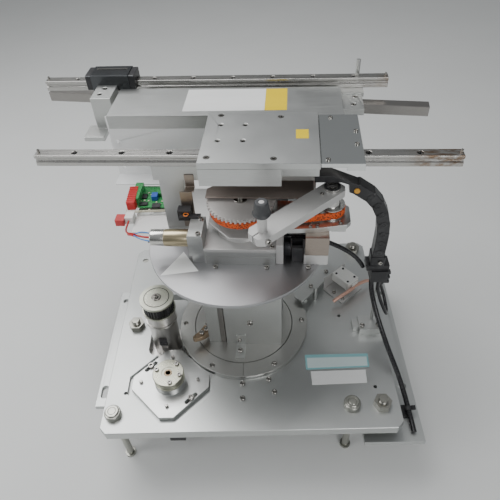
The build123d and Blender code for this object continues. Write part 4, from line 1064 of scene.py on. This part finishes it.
    def ties(self) -> None:
        """Band the main cable to its mount, and set the sensor housing's screws and socket."""
        band = ring([(3.9, -2.6), (5.4, -2.6), (5.4, 2.6), (3.9, 2.6)], 28)
        lock = slab(4.6, 9.6, -3.6, 3.6, -3.0, 3.0, 0.8)
        tie = joined([band, lock]).along((0.04, -0.93, -0.36)).moved((232.6, -140.6, -19.4))
        Piece.make("tie_band", tie, BLACK_PLASTIC, "base")
        c, s = math.cos(math.radians(self.sensor_turn)), math.sin(math.radians(self.sensor_turn))
        x, y, _ = self.sensor
        corners = ((-8.0, 13.0), (8.0, 13.0), (-8.0, -12.0), (8.0, -12.0))
        screws("sensor_screws", "base", [(x + u * c - v * s, y + u * s + v * c, 30.0, 1.9, 0.8)
                                         for u, v in corners], BLACK_OXIDE, turns=False)
        socket = slab(-6.5, 6.5, -21.6, -18.3, 16.0, 27.0, 0.8).spun(self.sensor_turn)
        Piece.make("sensor_socket", socket.moved(self.sensor), WHITE_PLASTIC, "base")

    def build(self) -> None:
        """Make all the fittings."""
        self.ties()
        self.boss()
        self.small()
        self.column()
        self.tower_trim()
        self.tubes()


# ---- labels and electrics
@dataclass
class Labels:
    """Blank labels, each a thin film with straight edges."""

    film: float = 0.15
    rows: tuple[tuple[str, Finish, str, float, Outline], ...] = (
        ("plate_label", LABEL_TEAL, "base", 0.0,
         ((92.5, -86.5), (185.3, -84.4), (186.5, -61.1), (92.5, -60.7))),
        ("plate_label_field", LABEL_PALE, "base", 0.15,
         ((95.0, -83.8), (183.0, -82.0), (184.0, -66.5), (95.0, -66.2))),
        ("plate_small_label", LABEL_WHITE, "base", 0.0,
         ((99.0, -112.0), (177.5, -110.5), (179.0, -89.0), (99.0, -89.6))),
        ("disc_label", LABEL_WHITE, "turntable", 187.0,
         ((-90.3, -69.7), (-43.2, -60.8), (-67.7, -26.6))),
        ("cover_label", LABEL_WHITE, "turntable", 299.0,
         ((-82.0, 140.0), (33.4, 141.5), (33.4, 205.5), (-82.0, 205.0))),
        ("cover_end_label", LABEL_YELLOW, "turntable", 299.0,
         ((33.6, 141.5), (64.6, 142.0), (64.6, 205.9), (33.6, 205.5))),
        ("carriage_label", LABEL_YELLOW, "front_carriage", 328.0,
         ((76.7, 21.5), (91.6, 21.5), (91.6, 41.4), (76.7, 41.4))))

    def build(self) -> None:
        """Lay every film on its face; those off the base stand turned with the turntable."""
        for name, finish, body, z, outline in self.rows:
            make = Piece.make if body == "base" else Piece.turning
            make(name, prism(outline, z, z + self.film), finish, body)


@dataclass
class Electrics:
    """Board parts, solder leads, plug details and the black ends of the bearing blocks."""

    board_top: float = 194.6
    tabs: tuple[float, float] = (-29.0, -43.0)
    blocks: tuple[tuple[str, str, float, float], ...] = (
        ("front_block_ends", "front_carriage", 35.0, 24.3),
        ("rear_block_ends", "rear_carriage", -202.0, 228.0))

    def board(self) -> None:
        """Dress the circuit board's connector, parts and pale edge."""
        z = self.board_top
        shell = [slab(-156.4, -144.6, 59.6, 98.4, z, 207.5, 0.8)]
        shell += [slab(-156.9, -144.1, y - 0.6, y + 0.6, z, 208.0)
                  for y in np.linspace(62.0, 96.0, 9)]
        relay = slab(-124.4, -115.6, 79.6, 90.4, z, 201.6, 0.8)
        chips = [slab(x, x + w, y, y + d, z, z + 2.2, 0.4) for x, y, w, d in
                 ((-140.0, 68.0, 11.0, 7.0), (-140.0, 84.0, 8.0, 10.0), (-122.0, 62.0, 12.0, 9.0),
                  (-112.0, 88.0, 8.0, 8.0))]
        pale = [slab(x, x + 2.4, y, y + 1.5, z, z + 1.1) for x, y in
                ((-142.0, 78.5), (-136.0, 79.0), (-130.0, 78.0), (-128.0, 92.0), (-118.0, 74.0),
                 (-110.0, 76.0), (-106.0, 82.0), (-132.0, 97.0), (-112.0, 70.0), (-126.0, 57.6))]
        pale += [slab(-158.3, -99.7, 55.6, 56.1, 192.9, 194.8),
                 slab(-158.4, -157.9, 56.0, 106.0, 192.9, 194.8),
                 slab(-158.0, -100.0, 57.0, 57.9, z, z + 0.3),
                 slab(-143.4, -142.6, 58.0, 104.0, z, z + 0.3)]
        for name, parts, finish in (("board_connector", shell, RED_PLASTIC),
                                    ("board_relay", [relay], BLUE_PLASTIC),
                                    ("board_chips", chips, BLACK_PLASTIC),
                                    ("board_small_parts", pale, CREAM_PLASTIC)):
            Piece.make(name, joined(parts), finish, "turntable")

    def leads(self) -> None:
        """Run the two blue solder leads from the motor's tabs into a red sleeve."""
        runs = []
        for y, middle in zip(self.tabs, (-27.6, -40.0)):
            points = np.array([(-103.0, y, 221.0), (-110.0, y, 222.5), (-119.0, middle, 223.0),
                               (-127.5, -32.2, 221.6)])
            runs.append(tube(Route("lead", points, 1.5).line(), 0.85, 10))
        Piece.turning("solder_leads", joined(runs), BLUE_JACKET)
        tabs = joined(slab(-105.6, -102.8, y - 1.6, y + 1.6, 219.6, 220.2) for y in self.tabs)
        Piece.turning("solder_tabs", tabs, BRONZE)
        way = np.array([(-125.0, -33.2, 221.6), (-130.0, -29.6, 220.2), (-136.0, -24.4, 215.4)])
        Piece.turning("lead_sleeve", tube(Route("sleeve", way, 4.4).line(), 2.2, 14), RED_JACKET)
        shell = [slab(-171.8, -159.0, 21.7, 36.3, 188.2, 197.8, 1.0),
                 slab(-167.5, -163.5, 36.0, 38.4, 190.0, 196.0, 0.6)]
        Piece.turning("red_plug_shell", joined(shell), RED_PLASTIC)
        loop = [(3.0 * math.cos(a), 3.0 * math.sin(a), 0.0) for a in np.linspace(0.0, 5.6, 20)]
        coil = tube(np.array(loop) + (-60.5, -10.5, 237.4), 0.8, 8)
        Piece.turning("sensor_wire_ring", coil, ORANGE_JACKET)

    def block_ends(self) -> None:
        """Cap both bearing blocks with black end plates that clear the rail, and one strip."""
        outline = [(-16.3, 296.8), (-8.0, 296.8), (-8.0, 307.6), (8.0, 307.6), (8.0, 296.8),
                   (16.3, 296.8), (16.3, 317.4), (14.6, 318.9), (-14.6, 318.9), (-16.3, 317.4)]
        flat = prism(outline, 0.0, 8.4)
        plate = Surface(flat.points[:, [2, 0, 1]], flat.faces)
        for name, body, x, y in self.blocks:
            ends = joined([plate.moved((x + 29.0, y, 0.0)), plate.moved((x - 37.4, y, 0.0))])
            Piece.turning(name, ends, BLACK_PLASTIC, body, bevel=0.4)
        strip = slab(-226.0, -178.0, 231.0, 236.0, 319.9, 320.5, 1.0)
        Piece.turning("rear_block_strip", strip, SCREW_STEEL, "rear_carriage", slot="bright_steel")

    def build(self) -> None:
        """Make all the electrics and the end plates."""
        self.board()
        self.leads()
        self.block_ends()


# ---- studio
@dataclass(frozen=True)
class Lamp:
    """A soft square light: where it hangs and how wide it is, in metres, and its power."""

    name: str
    place: Point
    size: float
    power: float


@dataclass
class Studio:
    """Pale floor, soft lights and the camera."""

    focal_pixels: float = 499.62
    frame_pixels: float = 500.0
    film_width: float = 36.0
    pitch: float = 43.99
    roll: float = 3.53
    yaw: float = 2.372
    stand: Point = (37.5, -492.8, 641.4)
    floor_height: float = -118.0
    floor_reach: float = 6.0
    horizon: float = 0.45
    ground_tone: Colour = (0.16, 0.17, 0.17)
    sky_tone: Colour = (0.78, 0.80, 0.82)
    sky_power: float = 0.46
    aim: Point = (0.0, 0.0, 0.1)
    lamps: tuple[Lamp, ...] = (Lamp("overhead", (-0.5, 0.5, 1.5), 1.1, 22.0),
                               Lamp("left_window", (-1.5, -0.6, 0.9), 0.8, 9.0),
                               Lamp("front_fill", (0.6, -1.5, 0.9), 0.8, 10.0))

    def camera(self) -> None:
        """Set the camera from its place and its pitch, roll and yaw.

        The axes ahead and up are turned by the yaw, then the picture is turned by the roll r:
        across = cos r right - sin r up, above = sin r right + cos r up.
        """
        p, r, y = (math.radians(v) for v in (self.pitch, self.roll, self.yaw))
        turn = np.array([[math.cos(y), -math.sin(y), 0], [math.sin(y), math.cos(y), 0], [0, 0, 1]])
        right = turn @ np.array([1.0, 0, 0])
        ahead = turn @ np.array([0, math.cos(p), -math.sin(p)])
        up = turn @ np.array([0, math.sin(p), math.cos(p)])
        across = math.cos(r) * right - math.sin(r) * up
        above = math.sin(r) * right + math.cos(r) * up
        data = bpy.data.cameras.new("camera")
        data.sensor_width = self.film_width
        data.lens = self.film_width * self.focal_pixels / self.frame_pixels
        data.clip_start = 0.01
        obj = placed("camera", data)
        axes = Matrix(np.stack([across, above, -ahead], axis=1).tolist()).to_4x4()
        obj.matrix_world = Matrix.Translation(Vector(self.stand) * MM) @ axes
        bpy.context.scene.camera = obj

    def floor(self) -> None:
        """Lay a wide pale floor under the legs."""
        data = bpy.data.meshes.new("floor")
        z, s = self.floor_height * MM, self.floor_reach
        data.from_pydata([(-s, -s, z), (s, -s, z), (s, s, z), (-s, s, z)], [], [(0, 1, 2, 3)])
        chart = Chart("pale floor")
        tone = chart.noise((6.0, 6.0, 6.0))
        chart.set(Base_Color=chart.blend(tone, (0.70, 0.71, 0.70), (0.75, 0.76, 0.75)),
                  Roughness=0.75)
        data.materials.append(chart.made)
        placed("floor", data)

    def surroundings(self) -> None:
        """Light the room evenly, from a darker ground to a pale sky."""
        world = bpy.data.worlds.new("studio")
        bpy.context.scene.world = world
        world.use_nodes = True
        nodes, links = world.node_tree.nodes, world.node_tree.links
        ramp = nodes.new("ShaderNodeValToRGB")
        low, high = ramp.color_ramp.elements
        low.color, high.color = (*self.ground_tone, 1.0), (*self.sky_tone, 1.0)
        low.position = self.horizon
        split = nodes.new("ShaderNodeSeparateXYZ")
        rise = nodes.new("ShaderNodeMapRange")
        rise.inputs["From Min"].default_value = -1.0
        links.new(nodes.new("ShaderNodeTexCoord").outputs["Generated"], split.inputs[0])
        links.new(split.outputs["Z"], rise.inputs["Value"])
        links.new(rise.outputs["Result"], ramp.inputs["Fac"])
        links.new(ramp.outputs["Color"], nodes["Background"].inputs["Color"])
        nodes["Background"].inputs["Strength"].default_value = self.sky_power

    def lights(self) -> None:
        """Hang the soft lights, each turned towards the robot."""
        for lamp in self.lamps:
            data = bpy.data.lights.new(lamp.name, "AREA")
            data.size = lamp.size
            data.energy = lamp.power
            obj = placed(lamp.name, data)
            obj.location = lamp.place
            towards = Vector(self.aim) - Vector(lamp.place)
            obj.rotation_euler = towards.to_track_quat("-Z", "Y").to_euler()

    def build(self) -> None:
        """Set up the whole studio."""
        self.camera()
        self.floor()
        self.surroundings()
        self.lights()


def write_sizes() -> None:
    """Bring the scene's transforms up to date."""
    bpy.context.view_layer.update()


def main() -> None:
    """Build every sub-assembly in order."""
    logging.basicConfig(level=logging.INFO, format="%(name)s: %(message)s")
    Studio().build()
    Cables().build()
    SolidDressing().dress()
    CableChain().build()
    Fasteners().build()
    BaseFittings().build()
    Labels().build()
    Electrics().build()
    write_sizes()


if __name__ == "__main__":
    main()
